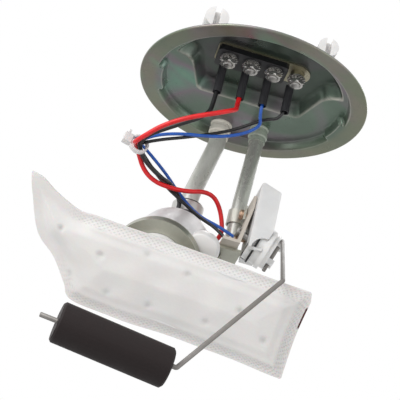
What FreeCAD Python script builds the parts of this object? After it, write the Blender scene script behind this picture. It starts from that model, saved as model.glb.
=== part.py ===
import FreeCAD, Part
import math
import os
import Sketcher

# In-tank fuel pump module. Origin: centre of the flange's sealing face, +Z up out of the tank.
# The pump lies on a rising axis below the flange, and the level sender turns on a tilted axis.

doc = FreeCAD.newDocument("fuel_pump_module")
sheet = doc.addObject("Spreadsheet::Sheet", "Sizes")
Vector = FreeCAD.Vector

SIZES = {
    # flange
    "flange_radius": 60.0,
    "flange_sheet": 1.5,
    "rim_width": 8.5,
    "step_run": 2.0,
    "panel_rise": 4.5,
    "pocket_rise": 11.2,
    "pocket_radius": 47.0,
    "pocket_wing_y": 14.4,
    "pocket_wing_x": 36.5,
    "pocket_back_x": 28.0,
    "pocket_back_y": 14.0,
    "pocket_wall_run": 3.2,
    "pocket_wall_gain": 1.4,
    # terminals
    "stud_pitch": 12.0,
    "stud_row_y": 18.0,
    "stud_radius": 2.4,
    "stud_fit": 0.05,
    "bush_radius": 3.5,
    "bush_gap": 0.1,
    "backing_thickness": 0.8,
    "backing_margin": 0.5,
    "ear_radius": 7.5,
    "insulator_thickness": 3.0,
    "insulator_left": 24.5,
    "insulator_right": 12.4,
    "insulator_width": 15.5,
    "insulator_y": 16.6,
    "lug_thickness": 0.8,
    "lug_radius": 4.3,
    "lug_reach": 6.6,
    "lug_tongue": 3.0,
    "barrel_radius": 1.7,
    "barrel_length": 8.0,
    "barrel_side": 1.4,
    "sleeve_radius": 2.2,
    "sleeve_length": 16.0,
    "washer_thickness": 0.7,
    "washer_radius": 4.1,
    "nut_flats": 8.0,
    "nut_thickness": 2.6,
    "stud_tip": 0.8,
    "pin_radius": 1.2,
    "pin_length": 4.2,
    "shell_length": 43.0,
    "shell_width": 12.0,
    "shell_depth": 7.6,
    "shell_wall": 1.8,
    "shell_floor": 2.4,
    # lines
    "supply_radius": 4.75,
    "supply_bore": 3.85,
    "supply_x": 8.2,
    "supply_y": 42.5,
    "return_radius": 4.0,
    "return_bore": 3.2,
    "return_x": 12.2,
    "return_y": 35.5,
    "return_mid_x": 10.9,
    "return_mid_y": 34.9,
    "return_foot_x": 11.2,
    "return_foot_y": 34.5,
    "return_foot_z": 76.5,
    "line_top_z": 19.7,
    "return_top_gain": 2.5,
    "line_bend": 12.5,
    "line_end_y": 26.0,
    "supply_end_x": 30.0,
    "return_end_x": 28.5,
    "line_fit": 0.05,
    "collar_length": 9.0,
    "collar_wall": 1.3,
    "bead_height": 0.9,
    "cap_wall": 1.3,
    "cap_length": 15.0,
    "cap_slot": 3.0,
    "cap_slot_depth": 4.5,
    # pump
    "pump_x": 29.0,
    "pump_y": 28.0,
    "pump_z": 117.0,
    "pump_turn": 12.0,
    "pump_climb": 35.0,
    "can_radius": 19.0,
    "can_wall": 1.0,
    "can_length": 52.0,
    "can_lip": 2.5,
    "fit_gap": 0.05,
    "inlet_depth": 9.0,
    "nipple_radius": 4.75,
    "nipple_bore": 3.3,
    "inlet_nipple": 8.0,
    "impeller_radius": 14.6,
    "impeller_thickness": 3.4,
    "impeller_gap": 0.25,
    "vane_count": 24.0,
    "vane_depth": 2.2,
    "vane_slot": 1.9,
    "plate_thickness": 3.0,
    "bearing_radius": 4.0,
    "bearing_length": 4.0,
    "shaft_radius": 2.0,
    "shaft_gap": 0.03,
    "shaft_length": 43.0,
    "core_radius": 11.4,
    "core_length": 17.0,
    "core_start": 17.0,
    "core_slots": 8.0,
    "core_slot_width": 1.8,
    "core_slot_depth": 5.0,
    "winding_radius": 9.2,
    "winding_bulge": 3.0,
    "magnet_gap": 0.6,
    "magnet_wall": 4.6,
    "magnet_gap_width": 9.0,
    "commutator_radius": 6.4,
    "commutator_length": 4.6,
    "commutator_start": 38.4,
    "brush_width": 3.0,
    "brush_height": 3.2,
    "brush_length": 4.6,
    "brush_spring_length": 4.0,
    "spring_wire": 0.25,
    "outlet_start": 44.6,
    "outlet_rise": 4.5,
    "outlet_nipple": 14.0,
    "valve_radius": 2.5,
    "valve_length": 4.0,
    "valve_travel": 1.6,
    "blade_width": 6.0,
    "blade_thickness": 0.8,
    "blade_length": 9.0,
    "blade_offset": 11.0,
    "relief_offset": 10.0,
    "relief_bore": 2.2,
    "relief_ball": 1.9,
    "relief_travel": 0.8,
    # bracket
    "cup_radius": 20.3,
    "cup_hole": 14.3,
    "cup_sheet": 1.4,
    "cup_rim": 4.0,
    "strap_inside": 21.4,
    "strap_low": 17.0,
    "strap_high": 4.0,
    "foot_sheet": 1.5,
    # strainer
    "collar_radius": 14.1,
    "collar_bore": 12.7,
    "neck_length": 9.0,
    "neck_radius": 6.4,
    "sock_thickness": 8.0,
    "sock_turn": 9.0,
    "sock_film": 0.9,
    "frame_gap": 0.5,
    "frame_bar": 2.0,
    # sender
    "pivot_x": 22.7,
    "pivot_y": 18.0,
    "pivot_z": 71.7,
    "sender_tilt": 18.0,
    "housing_left": 16.2,
    "housing_right": 27.1,
    "housing_front": 6.5,
    "housing_back": 29.5,
    "housing_top": 42.0,
    "housing_top_drop": 3.6,
    "housing_low": 79.0,
    "housing_wall": 1.2,
    "card_thickness": 0.9,
    "card_reach": 20.0,
    "card_half": 9.0,
    "drum_radius": 10.0,
    "drum_left": 4.4,
    "drum_right": 3.0,
    "rotor_radius": 11.0,
    "rotor_disc": 2.4,
    "rotor_step": 9.5,
    "pivot_radius": 1.8,
    "wiper_sheet": 0.3,
    "wiper_reach": 16.0,
    "wire_radius": 1.0,
    "clip_height": 3.4,
    "clip_width": 5.0,
    "clip_reach": 5.6,
    "bracket_sheet": 1.5,
    # float
    "float_radius": 8.2,
    "float_length": 46.5,
    "float_facet": 0.8,
    # wires
    "thick_wire": 1.2,
    "thin_wire": 0.85,
}
for row, (name, value) in enumerate(SIZES.items(), start=1):
    sheet.set("A%d" % row, name.replace("_", " "))
    sheet.set("B%d" % row, str(value))
    sheet.setAlias("B%d" % row, name)
doc.recompute()


class Size:
    """A number together with the sheet expression that gives it."""

    def __init__(self, text, value):
        self.text = text
        self.value = value

    def __add__(self, other):
        return Size("(%s + %s)" % (self.text, text_of(other)), self.value + value_of(other))

    def __radd__(self, other):
        return Size("(%s + %s)" % (text_of(other), self.text), value_of(other) + self.value)

    def __sub__(self, other):
        return Size("(%s - %s)" % (self.text, text_of(other)), self.value - value_of(other))

    def __rsub__(self, other):
        return Size("(%s - %s)" % (text_of(other), self.text), value_of(other) - self.value)

    def __mul__(self, other):
        return Size("(%s * %s)" % (self.text, text_of(other)), self.value * value_of(other))

    def __rmul__(self, other):
        return Size("(%s * %s)" % (text_of(other), self.text), value_of(other) * self.value)

    def __truediv__(self, other):
        return Size("(%s / %s)" % (self.text, text_of(other)), self.value / value_of(other))

    def __neg__(self):
        return Size("(0 - %s)" % self.text, -self.value)


def text_of(number):
    return number.text if isinstance(number, Size) else "%g" % number


def value_of(number):
    return number.value if isinstance(number, Size) else float(number)


def root_of(number):
    return Size("sqrt(%s)" % number.text, math.sqrt(number.value))


class Sizes:
    """Reads each driving dimension back from the sheet by its alias."""

    def __getattr__(self, name):
        return Size("Sizes." + name, float(sheet.get(name)))


s = Sizes()


def bind(thing, prop, number):
    if isinstance(number, Size):
        thing.setExpression(prop, number.text)
    else:
        setattr(thing, prop, number)


def frame_of(origin, x_axis, z_axis):
    """Placement with its origin at the point, X along x_axis and Z along z_axis."""
    turn = FreeCAD.Rotation(x_axis, Vector(0, 0, 0), z_axis, "ZXY")
    return FreeCAD.Placement(origin, turn)


PARTS = []


def keep(thing, label, placement=None):
    thing.Label = label
    if placement is not None:
        thing.Placement = placement
    PARTS.append(thing)
    return thing


def new_body(name):
    body = doc.addObject("PartDesign::Body", name)
    body.AllowCompound = True
    return body


def sketch_on(body, name, role, height=None):
    sketch = body.newObject("Sketcher::SketchObject", name)
    plane = [feature for feature in body.Origin.OriginFeatures if feature.Role == role][0]
    sketch.AttachmentSupport = [(plane, "")]
    sketch.MapMode = "FlatFace"
    if height is not None:
        bind(sketch, "AttachmentOffset.Base.z", height)
    return sketch


def hold_value(sketch, kind, geometry, end, number):
    """Fixes one coordinate of a point; a point on an axis is tied to that axis."""
    value = value_of(number)
    axis = -2 if kind == "DistanceX" else -1
    if abs(value) < 1e-9:
        sketch.addConstraint(Sketcher.Constraint("PointOnObject", geometry, end, axis))
        return
    if value > 0:
        index = sketch.addConstraint(Sketcher.Constraint(kind, -1, 1, geometry, end, value))
        text = text_of(number)
    else:
        index = sketch.addConstraint(Sketcher.Constraint(kind, geometry, end, -1, 1, -value))
        text = text_of(-1 * number) if isinstance(number, Size) else None
    if isinstance(number, Size):
        sketch.setExpression("Constraints[%d]" % index, text)


def hold_point(sketch, geometry, end, x, y):
    hold_value(sketch, "DistanceX", geometry, end, x)
    hold_value(sketch, "DistanceY", geometry, end, y)


def arc_between(start, end, radius):
    """Arc geometry from start to end that turns left when radius is positive."""
    middle = (start + end) * 0.5
    half = (end - start).Length / 2
    reach = math.sqrt(max(radius * radius - half * half, 0.0))
    across = (end - start).normalize().cross(Vector(0, 0, -1))
    side = 1 if radius > 0 else -1
    centre = middle + across * reach * side
    first = math.atan2(start.y - centre.y, start.x - centre.x)
    last = math.atan2(end.y - centre.y, end.x - centre.x)
    circle = Part.Circle(centre, Vector(0, 0, 1), abs(radius))
    if side > 0:
        return Part.ArcOfCircle(circle, first, last if last > first else last + 2 * math.pi), 1, 2
    return Part.ArcOfCircle(circle, last, first if first > last else first + 2 * math.pi), 2, 1


def outline(sketch, points, arcs=None):
    """Closed outline through the points; arcs gives the radius of the sides that are round."""
    arcs = arcs or {}
    sides = []
    spots = [Vector(value_of(x), value_of(y), 0) for x, y in points]
    for number, start in enumerate(spots):
        end = spots[(number + 1) % len(spots)]
        if number in arcs:
            arc, first, last = arc_between(start, end, value_of(arcs[number]))
            geometry = sketch.addGeometry(arc, False)
        else:
            geometry = sketch.addGeometry(Part.LineSegment(start, end), False)
            first, last = 1, 2
        sides.append((geometry, first, last))
    for number, (geometry, first, last) in enumerate(sides):
        after = sides[(number + 1) % len(sides)]
        sketch.addConstraint(Sketcher.Constraint("Coincident", geometry, last, after[0], after[1]))
    for number, (geometry, first, last) in enumerate(sides):
        hold_point(sketch, geometry, first, *points[number])
        if number in arcs:
            radius = arcs[number]
            index = sketch.addConstraint(Sketcher.Constraint("Radius", geometry, abs(value_of(radius))))
            if isinstance(radius, Size):
                text = radius.text if radius.value > 0 else (-1 * radius).text
                sketch.setExpression("Constraints[%d]" % index, text)


def ring(sketch, x, y, radius):
    circle = Part.Circle(Vector(value_of(x), value_of(y), 0), Vector(0, 0, 1), value_of(radius))
    geometry = sketch.addGeometry(circle, False)
    hold_point(sketch, geometry, 3, x, y)
    index = sketch.addConstraint(Sketcher.Constraint("Radius", geometry, value_of(radius)))
    if isinstance(radius, Size):
        sketch.setExpression("Constraints[%d]" % index, radius.text)


def rectangle(sketch, left, low, right, high):
    outline(sketch, [(left, low), (right, low), (right, high), (left, high)])


def pad(body, sketch, length, kind="PartDesign::Pad", reverse=False, middle=False):
    feature = body.newObject(kind, sketch.Name + "_solid")
    feature.Profile = sketch
    bind(feature, "Length", length)
    feature.Reversed = reverse
    if middle:
        feature.SideType = "Symmetric"
    return feature


def cut(body, sketch, length, reverse=False, middle=False):
    return pad(body, sketch, length, "PartDesign::Pocket", reverse, middle)


def spin(body, sketch, kind="PartDesign::Revolution"):
    feature = body.newObject(kind, sketch.Name + "_turned")
    feature.Profile = sketch
    feature.ReferenceAxis = (sketch, ["V_Axis"])
    feature.Angle = 360
    return feature


def turned(name, points, arcs=None):
    """Body turned about its Z axis from an outline of (radius, height) points."""
    body = new_body(name)
    sketch = sketch_on(body, name + "_profile", "XZ_Plane")
    outline(sketch, points, arcs)
    spin(body, sketch)
    return body


def tube_points(inner, outer, low, high):
    return [(inner, low), (outer, low), (outer, high), (inner, high)]


def repeat_round(body, feature, count):
    pattern = body.newObject("PartDesign::PolarPattern", feature.Name + "_round")
    pattern.Originals = [feature]
    axis = [item for item in body.Origin.OriginFeatures if item.Role == "Z_Axis"][0]
    pattern.Axis = (axis, [""])
    pattern.Angle = 360
    bind(pattern, "Occurrences", count)
    body.Tip = pattern
    return pattern


def edges_where(shape, test):
    return ["Edge%d" % (number + 1) for number, edge in enumerate(shape.Edges) if test(edge)]


def round_edges(body, feature, test, radius, kind="PartDesign::Fillet"):
    """Rounds or bevels the edges of the feature that pass the test."""
    doc.recompute()
    names = edges_where(feature.Shape, test)
    if not names:
        raise ValueError("no edge to round on " + body.Name)
    rounding = body.newObject(kind, feature.Name + "_edge")
    rounding.Base = (feature, names)
    bind(rounding, "Radius" if kind.endswith("Fillet") else "Size", radius)
    return rounding


def is_upright(edge):
    first, last = edge.Vertexes[0].Point, edge.Vertexes[-1].Point
    return len(edge.Vertexes) == 2 and (first - last).cross(Vector(0, 0, 1)).Length < 1e-6


def cylinder(name, radius, height, low=0.0):
    solid = doc.addObject("Part::Cylinder", name)
    bind(solid, "Radius", radius)
    bind(solid, "Height", height)
    bind(solid, "Placement.Base.z", low) if isinstance(low, Size) else None
    return solid


def block(name, left, front, low, right, back, high):
    """Box between two corners, each given by its coordinates."""
    solid = doc.addObject("Part::Box", name)
    bind(solid, "Length", right - left)
    bind(solid, "Width", back - front)
    bind(solid, "Height", high - low)
    for axis, number in (("x", left), ("y", front), ("z", low)):
        solid.setExpression("Placement.Base." + axis, text_of(number))
    return solid


def rounded_path(points, radius):
    """Wire of straight runs joined by tangent arcs; radius is one number or one for each corner."""
    edges = []
    place = points[0]
    bends = radius if isinstance(radius, list) else [radius] * (len(points) - 2)
    for corner, bend, before, after in zip(points[1:-1], bends, points[:-2], points[2:]):
        into = (corner - before).normalize()
        out = (after - corner).normalize()
        half_turn = into.getAngle(out) / 2
        reach = bend * math.tan(half_turn)
        start = corner - into * reach
        end = corner + out * reach
        bisector = (out - into).normalize()
        middle = corner + bisector * (bend / math.cos(half_turn) - bend)
        if (start - place).Length > 1e-6:
            edges.append(Part.LineSegment(place, start).toShape())
        edges.append(Part.Arc(start, middle, end).toShape())
        place = end
    edges.append(Part.LineSegment(place, points[-1]).toShape())
    return Part.Wire(edges)


def swept(name, points, bend, radius):
    """Solid round bar along the rounded path."""
    path = doc.addObject("Part::Feature", name + "_path")
    path.Shape = rounded_path(points, bend)
    section = doc.addObject("Part::Circle", name + "_section")
    bind(section, "Radius", radius)
    way = (points[1] - points[0]).normalize()
    section.Placement = FreeCAD.Placement(points[0], FreeCAD.Rotation(Vector(0, 0, 1), way))
    sweep = doc.addObject("Part::Sweep", name)
    sweep.Sections = [section]
    sweep.Spine = (path, ["Edge%d" % (number + 1) for number in range(len(path.Shape.Edges))])
    sweep.Solid = True
    sweep.Frenet = False
    return sweep


def hollow(name, solid, bore):
    piece = doc.addObject("Part::Cut", name)
    piece.Base = solid
    piece.Tool = bore
    return piece


def joined(name, solids):
    piece = doc.addObject("Part::MultiFuse", name)
    piece.Shapes = solids
    piece.Refine = True
    return piece


# Flange

panel_top = s.panel_rise + s.flange_sheet
pocket_top = s.pocket_rise + s.flange_sheet
step_radius = s.flange_radius - s.rim_width
stud_first_x = -1.5 * s.stud_pitch


def pocket_outline(sketch, grow):
    """Outline of the terminal pocket: the near arc of the rim, two wings and the raised back."""
    radius = s.pocket_radius + grow
    wing_y = -1 * (s.pocket_wing_y - grow)
    wing_x = s.pocket_wing_x + grow
    end_x = root_of(radius * radius - wing_y * wing_y)
    back_x = s.pocket_back_x + grow
    back_y = s.pocket_back_y + grow
    outline(
        sketch,
        [(-end_x, wing_y), (end_x, wing_y), (wing_x, wing_y), (back_x, back_y), (-back_x, back_y), (-wing_x, wing_y)],
        {0: radius},
    )


def pocket_loft(body, name, kind, low, low_grow, high, high_grow):
    base = sketch_on(body, name + "_base", "XY_Plane", low)
    pocket_outline(base, low_grow)
    crown = sketch_on(body, name + "_crown", "XY_Plane", high)
    pocket_outline(crown, high_grow)
    loft = body.newObject(kind, name)
    loft.Profile = base
    loft.Sections = [crown]
    loft.Ruled = True
    return loft


def make_flange():
    body = new_body("Flange")
    step_shift = s.flange_sheet * 0.65
    profile = sketch_on(body, "flange_profile", "XZ_Plane")
    outline(
        profile,
        [
            (0, s.panel_rise),
            (step_radius - s.step_run, s.panel_rise),
            (step_radius, 0),
            (s.flange_radius, 0),
            (s.flange_radius, s.flange_sheet),
            (step_radius + step_shift, s.flange_sheet),
            (step_radius - s.step_run + step_shift, panel_top),
            (0, panel_top),
        ],
    )
    spin(body, profile)
    inside = -1 * s.pocket_wall_run
    pocket_loft(body, "pocket_outside", "PartDesign::AdditiveLoft", s.panel_rise + s.flange_sheet * 0.5,
                s.pocket_wall_gain * 0.8, pocket_top, inside + s.pocket_wall_gain)
    pocket_loft(body, "pocket_inside", "PartDesign::SubtractiveLoft", s.panel_rise - s.flange_sheet * 0.1,
                s.flange_sheet * 0.05, s.pocket_rise, inside)
    holes = sketch_on(body, "flange_holes", "XY_Plane")
    ring(holes, -s.supply_x, s.supply_y, s.supply_radius + s.line_fit)
    ring(holes, s.return_x, s.return_y, s.return_radius + s.line_fit)
    for number in range(4):
        ring(holes, stud_first_x + s.stud_pitch * number, -s.stud_row_y, s.bush_radius + s.bush_gap)
    cut(body, holes, pocket_top + s.flange_sheet, reverse=True)
    keep(body, "flange_plate")


# Terminals

insulator_low = s.pocket_rise - s.backing_thickness - s.insulator_thickness
lug_low = insulator_low - s.lug_thickness
washer_low = lug_low - s.washer_thickness
nut_low = washer_low - s.nut_thickness
stud_low = nut_low - s.stud_tip


def stud_spots():
    return [stud_first_x + s.stud_pitch * number for number in range(4)]


def make_backing_plate():
    body = new_body("BackingPlate")
    face = sketch_on(body, "backing_outline", "XY_Plane", s.pocket_rise - s.backing_thickness)
    left = -s.insulator_left - s.backing_margin
    low = -s.insulator_y - s.insulator_width / 2 - s.backing_margin
    high = -s.insulator_y + s.insulator_width / 2 + s.backing_margin
    ear_x = 1.5 * s.stud_pitch
    outline(
        face,
        [(left, low), (ear_x, low), (ear_x, high), (left, high)],
        {1: (high - low) / 2 * 1.02},
    )
    plate = pad(body, face, s.backing_thickness)
    round_edges(body, plate, lambda edge: is_upright(edge) and edge.Vertexes[0].Point.x < 0, 3.0)
    holes = sketch_on(body, "backing_holes", "XY_Plane")
    for x in stud_spots():
        ring(holes, x, -s.stud_row_y, s.bush_radius + s.bush_gap)
    cut(body, holes, s.pocket_rise, reverse=True)
    keep(body, "terminal_backing_plate")


def make_insulator():
    body = new_body("Insulator")
    low = -s.insulator_y - s.insulator_width / 2
    high = -s.insulator_y + s.insulator_width / 2
    face = sketch_on(body, "insulator_outline", "XY_Plane", insulator_low)
    rectangle(face, -s.insulator_left, low, s.insulator_right, high)
    plate = pad(body, face, s.insulator_thickness)
    round_edges(body, plate, is_upright, 2.5)
    bushes = sketch_on(body, "insulator_bushes", "XY_Plane", insulator_low + s.insulator_thickness)
    for x in stud_spots()[:3]:
        ring(bushes, x, -s.stud_row_y, s.bush_radius)
    pad(body, bushes, s.backing_thickness + s.flange_sheet)
    holes = sketch_on(body, "insulator_holes", "XY_Plane")
    for x in stud_spots()[:3]:
        ring(holes, x, -s.stud_row_y, s.stud_radius + s.stud_fit)
    cut(body, holes, pocket_top + s.flange_sheet, reverse=True)
    keep(body, "terminal_insulator")


def make_ground_spacer():
    body = new_body("GroundSpacer")
    rings = sketch_on(body, "spacer_ring", "XY_Plane", insulator_low)
    ring(rings, stud_spots()[3], -s.stud_row_y, s.bush_radius)
    ring(rings, stud_spots()[3], -s.stud_row_y, s.stud_radius + s.stud_fit)
    pad(body, rings, pocket_top - insulator_low)
    keep(body, "ground_spacer")


def make_studs():
    body = new_body("Studs")
    shank = sketch_on(body, "stud_shanks", "XY_Plane", stud_low)
    for x in stud_spots():
        ring(shank, x, -s.stud_row_y, s.stud_radius)
    shanks = pad(body, shank, pocket_top - stud_low)
    round_edges(body, shanks, lambda edge: edge.BoundBox.ZMax < stud_low.value + 0.01, 0.5, "PartDesign::Chamfer")
    pins = sketch_on(body, "stud_pins", "XY_Plane", pocket_top)
    for x in stud_spots():
        ring(pins, x, -s.stud_row_y, s.pin_radius)
    pad(body, pins, s.shell_floor + s.pin_length)
    keep(body, "terminal_studs")


def make_lugs():
    body = new_body("RingTerminals")
    flat = sketch_on(body, "lug_rings", "XY_Plane", lug_low)
    for x in stud_spots():
        ring(flat, x, -s.stud_row_y, s.lug_radius)
    pad(body, flat, s.lug_thickness)
    tongues = sketch_on(body, "lug_tongues", "XY_Plane", lug_low)
    for x in stud_spots():
        centre = x - s.barrel_side
        rectangle(tongues, centre - s.lug_tongue / 2, -s.stud_row_y + s.stud_radius,
                  centre + s.lug_tongue / 2, -s.stud_row_y + s.lug_reach + s.lug_thickness)
    pad(body, tongues, s.lug_thickness)
    barrels = sketch_on(body, "lug_barrels", "XY_Plane", lug_low + s.lug_thickness)
    for x in stud_spots():
        ring(barrels, x - s.barrel_side, -s.stud_row_y + s.lug_reach, s.barrel_radius)
    pad(body, barrels, s.barrel_length + s.lug_thickness, reverse=True)
    holes = sketch_on(body, "lug_holes", "XY_Plane")
    for x in stud_spots():
        ring(holes, x, -s.stud_row_y, s.stud_radius + s.stud_fit)
    cut(body, holes, s.pocket_rise, reverse=True)
    keep(body, "ring_terminals")


def make_sleeves():
    body = new_body("TerminalSleeves")
    rings = sketch_on(body, "sleeve_rings", "XY_Plane", lug_low - s.lug_thickness)
    for x in stud_spots():
        ring(rings, x - s.barrel_side, -s.stud_row_y + s.lug_reach, s.sleeve_radius)
        ring(rings, x - s.barrel_side, -s.stud_row_y + s.lug_reach, s.barrel_radius + s.fit_gap)
    pad(body, rings, s.sleeve_length, reverse=True)
    keep(body, "terminal_sleeves")


def make_washers():
    body = new_body("LockWashers")
    rings = sketch_on(body, "washer_rings", "XY_Plane", washer_low)
    for x in stud_spots():
        ring(rings, x, -s.stud_row_y, s.washer_radius)
        ring(rings, x, -s.stud_row_y, s.stud_radius + s.stud_fit)
    pad(body, rings, s.washer_thickness)
    keep(body, "stud_lock_washers")


def make_nuts():
    body = new_body("StudNuts")
    faces = sketch_on(body, "nut_outlines", "XY_Plane", nut_low)
    half = s.nut_flats / 2
    corner = s.nut_flats / root_of(s.nut_flats / s.nut_flats * 3)
    for x in stud_spots():
        y = -s.stud_row_y
        outline(
            faces,
            [(x + corner, y), (x + corner / 2, y + half), (x - corner / 2, y + half),
             (x - corner, y), (x - corner / 2, y - half), (x + corner / 2, y - half)],
        )
        ring(faces, x, y, s.stud_radius + s.stud_fit)
    pad(body, faces, s.nut_thickness)
    keep(body, "stud_nuts")


def make_shell():
    body = new_body("ConnectorShell")
    low = -s.stud_row_y - s.shell_width / 2
    high = -s.stud_row_y + s.shell_width / 2
    base = sketch_on(body, "shell_outline", "XY_Plane", pocket_top)
    rectangle(base, -s.shell_length / 2, low, s.shell_length / 2, high)
    solid = pad(body, base, s.shell_depth)
    round_edges(body, solid, is_upright, 3.0)
    mouth = sketch_on(body, "shell_mouth", "XY_Plane", pocket_top + s.shell_depth)
    rectangle(mouth, -s.shell_length / 2 + s.shell_wall, low + s.shell_wall,
              s.shell_length / 2 - s.shell_wall, high - s.shell_wall)
    cut(body, mouth, s.shell_depth - s.shell_floor)
    holes = sketch_on(body, "shell_holes", "XY_Plane")
    for x in stud_spots():
        ring(holes, x, -s.stud_row_y, s.pin_radius + s.stud_fit)
    cut(body, holes, pocket_top + s.shell_depth, reverse=True)
    keep(body, "connector_shell")


# Lines

def supply_points():
    x, y = -value_of(s.supply_x), value_of(s.supply_y)
    top = value_of(s.line_top_z)
    knee = pump_point(0, 0, hose_knee.value)
    return [
        Vector(-value_of(s.supply_end_x), -value_of(s.line_end_y), top),
        Vector(-value_of(s.supply_end_x), value_of(s.line_bend) * 0.7, top),
        Vector(x, y, top),
        Vector(x, y, -9.0),
        Vector(knee.x, knee.y, knee.z + 25.0),
        Vector(knee.x, knee.y, knee.z + 10.5),
    ]


def return_points():
    x, y = value_of(s.return_x), value_of(s.return_y)
    top = value_of(s.line_top_z + s.return_top_gain)
    return [
        Vector(value_of(s.return_end_x), -value_of(s.line_end_y), top),
        Vector(value_of(s.return_end_x), value_of(s.line_bend) * 0.4, top),
        Vector(x, y, top),
        Vector(x, y, -8.0),
        Vector(value_of(s.return_mid_x), value_of(s.return_mid_y), -44.0),
        Vector(value_of(s.return_foot_x), value_of(s.return_foot_y), 0.15 - value_of(s.return_foot_z)),
    ]


def make_line(name, label, points, bends, radius, bore):
    shift_start = (points[0] - points[1]).normalize()
    shift_end = (points[-1] - points[-2]).normalize()
    solid = swept(name + "_solid", points, bends, radius)
    inner = [points[0] + shift_start] + points[1:-1] + [points[-1] + shift_end]
    keep(hollow(name, solid, swept(name + "_bore", inner, bends, bore)), label)


def make_collar(name, label, x, y, radius):
    """Brazed collar below the panel with a wider shoulder and a rolled bead."""
    inner = radius + s.line_fit
    outer = radius + s.collar_wall
    body = turned(
        name,
        [
            (inner, 0),
            (outer - s.collar_wall / 2, 0),
            (outer - s.collar_wall / 2, s.collar_length * 0.3),
            (outer, s.collar_length * 0.36),
            (outer, s.collar_length * 0.62),
            (outer - s.collar_wall / 2, s.collar_length * 0.7),
            (outer - s.collar_wall / 2, s.collar_length * 0.88),
            (outer, s.collar_length * 0.94),
            (outer, s.collar_length),
            (inner, s.collar_length),
        ],
    )
    keep(body, label, FreeCAD.Placement(
        Vector(value_of(x), value_of(y), s.panel_rise.value - s.collar_length.value), FreeCAD.Rotation()))


def make_line_cap(name, label, x, height, radius):
    """Moulded cap pushed over the line end, with a cross slot in its closed end."""
    inner = radius + s.fit_gap
    outer = radius + s.cap_wall
    body = turned(
        name,
        [
            (0, s.cap_length - s.cap_slot_depth - s.cap_wall),
            (inner, s.cap_length - s.cap_slot_depth - s.cap_wall),
            (inner, 0),
            (outer + s.cap_wall / 2, 0),
            (outer + s.cap_wall / 2, s.cap_wall * 1.2),
            (outer, s.cap_wall * 1.6),
            (outer, s.cap_length),
            (0, s.cap_length),
        ],
    )
    slot = sketch_on(body, name + "_slot", "XZ_Plane")
    rectangle(slot, -s.cap_slot / 2, s.cap_length - s.cap_slot_depth, s.cap_slot / 2, s.cap_length + 1)
    cut(body, slot, outer * 4, middle=True)
    seat = s.cap_length - s.cap_slot_depth - s.cap_wall
    origin = Vector(value_of(x), -(s.line_end_y - seat + s.fit_gap).value, height.value)
    keep(body, label, frame_of(origin, Vector(1, 0, 0), Vector(0, -1, 0)))


# Pump: each piece is drawn about its own Z axis, which runs from the inlet to the outlet

climb = math.radians(value_of(s.pump_climb))
turn = math.radians(value_of(s.pump_turn))
pump_way = Vector(math.sin(turn) * math.cos(climb), math.cos(turn) * math.cos(climb), math.sin(climb))
pump_side = Vector(math.cos(turn), -math.sin(turn), 0)
pump_origin = Vector(-value_of(s.pump_x), -value_of(s.pump_y), -value_of(s.pump_z))
pump_frame = frame_of(pump_origin, pump_side, pump_way)
can_inside = s.can_radius - s.can_wall - s.fit_gap
outlet_face = s.can_length + s.outlet_rise
hose_knee = outlet_face + s.outlet_nipple + 9
relief_seat = s.can_length - 4


def pump_point(x, y, z):
    return pump_frame.multVec(Vector(x, y, z))


def make_pump_shell():
    lip = s.can_radius - s.can_lip
    keep(turned("PumpCase", [
        (lip, 0), (s.can_radius - s.can_wall, 0), (s.can_radius, s.can_wall),
        (s.can_radius, s.can_length - s.can_wall), (s.can_radius - s.can_wall, s.can_length),
        (lip, s.can_length), (lip, s.can_length - s.can_wall),
        (s.can_radius - s.can_wall, s.can_length - s.can_wall), (s.can_radius - s.can_wall, s.can_wall),
        (lip, s.can_wall),
    ]), "pump_case", pump_frame)


def make_inlet_cover():
    low = s.can_wall + s.fit_gap
    chamber = s.inlet_depth - s.impeller_thickness - s.impeller_gap * 2
    face = s.can_radius - s.can_lip - s.fit_gap * 2
    body = turned("InletCover", [
        (s.nipple_bore, -s.inlet_nipple), (s.nipple_radius - 0.5, -s.inlet_nipple),
        (s.nipple_radius, -s.inlet_nipple + 1), (s.nipple_radius, 0),
        (face, 0), (face, low), (can_inside, low), (can_inside, s.inlet_depth),
        (s.impeller_radius + s.impeller_gap, s.inlet_depth), (s.impeller_radius + s.impeller_gap, chamber),
        (s.nipple_bore, chamber),
    ])
    keep(body, "pump_inlet_cover", pump_frame)


def make_impeller():
    low = s.inlet_depth - s.impeller_thickness - s.impeller_gap
    body = turned("Impeller", tube_points(s.shaft_radius + s.shaft_gap, s.impeller_radius,
                                          low, low + s.impeller_thickness))
    slot = sketch_on(body, "vane_slot", "XY_Plane", low + s.impeller_thickness)
    rectangle(slot, s.impeller_radius - s.vane_depth, -s.vane_slot / 2, s.impeller_radius + 1, s.vane_slot / 2)
    notch = cut(body, slot, s.impeller_thickness + 1)
    doc.recompute()
    repeat_round(body, notch, s.vane_count)
    keep(body, "impeller", pump_frame)


def make_motor_plate():
    body = turned("ImpellerPlate", tube_points(s.bearing_radius + s.fit_gap, can_inside,
                                               s.inlet_depth + s.fit_gap, s.inlet_depth + s.plate_thickness))
    keep(body, "impeller_plate", pump_frame)
    lower = turned("LowerBearing", tube_points(s.shaft_radius + s.shaft_gap, s.bearing_radius,
                                               s.inlet_depth + s.fit_gap, s.inlet_depth + s.bearing_length))
    lower.Placement = pump_frame
    start = s.outlet_start + s.fit_gap
    upper = turned("UpperBearing", tube_points(s.shaft_radius + s.shaft_gap, s.bearing_radius,
                                               start, start + s.bearing_length))
    upper.Placement = pump_frame
    pair = doc.addObject("Part::Compound", "Bearings")
    pair.Links = [lower, upper]
    keep(pair, "shaft_bearings")


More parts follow.
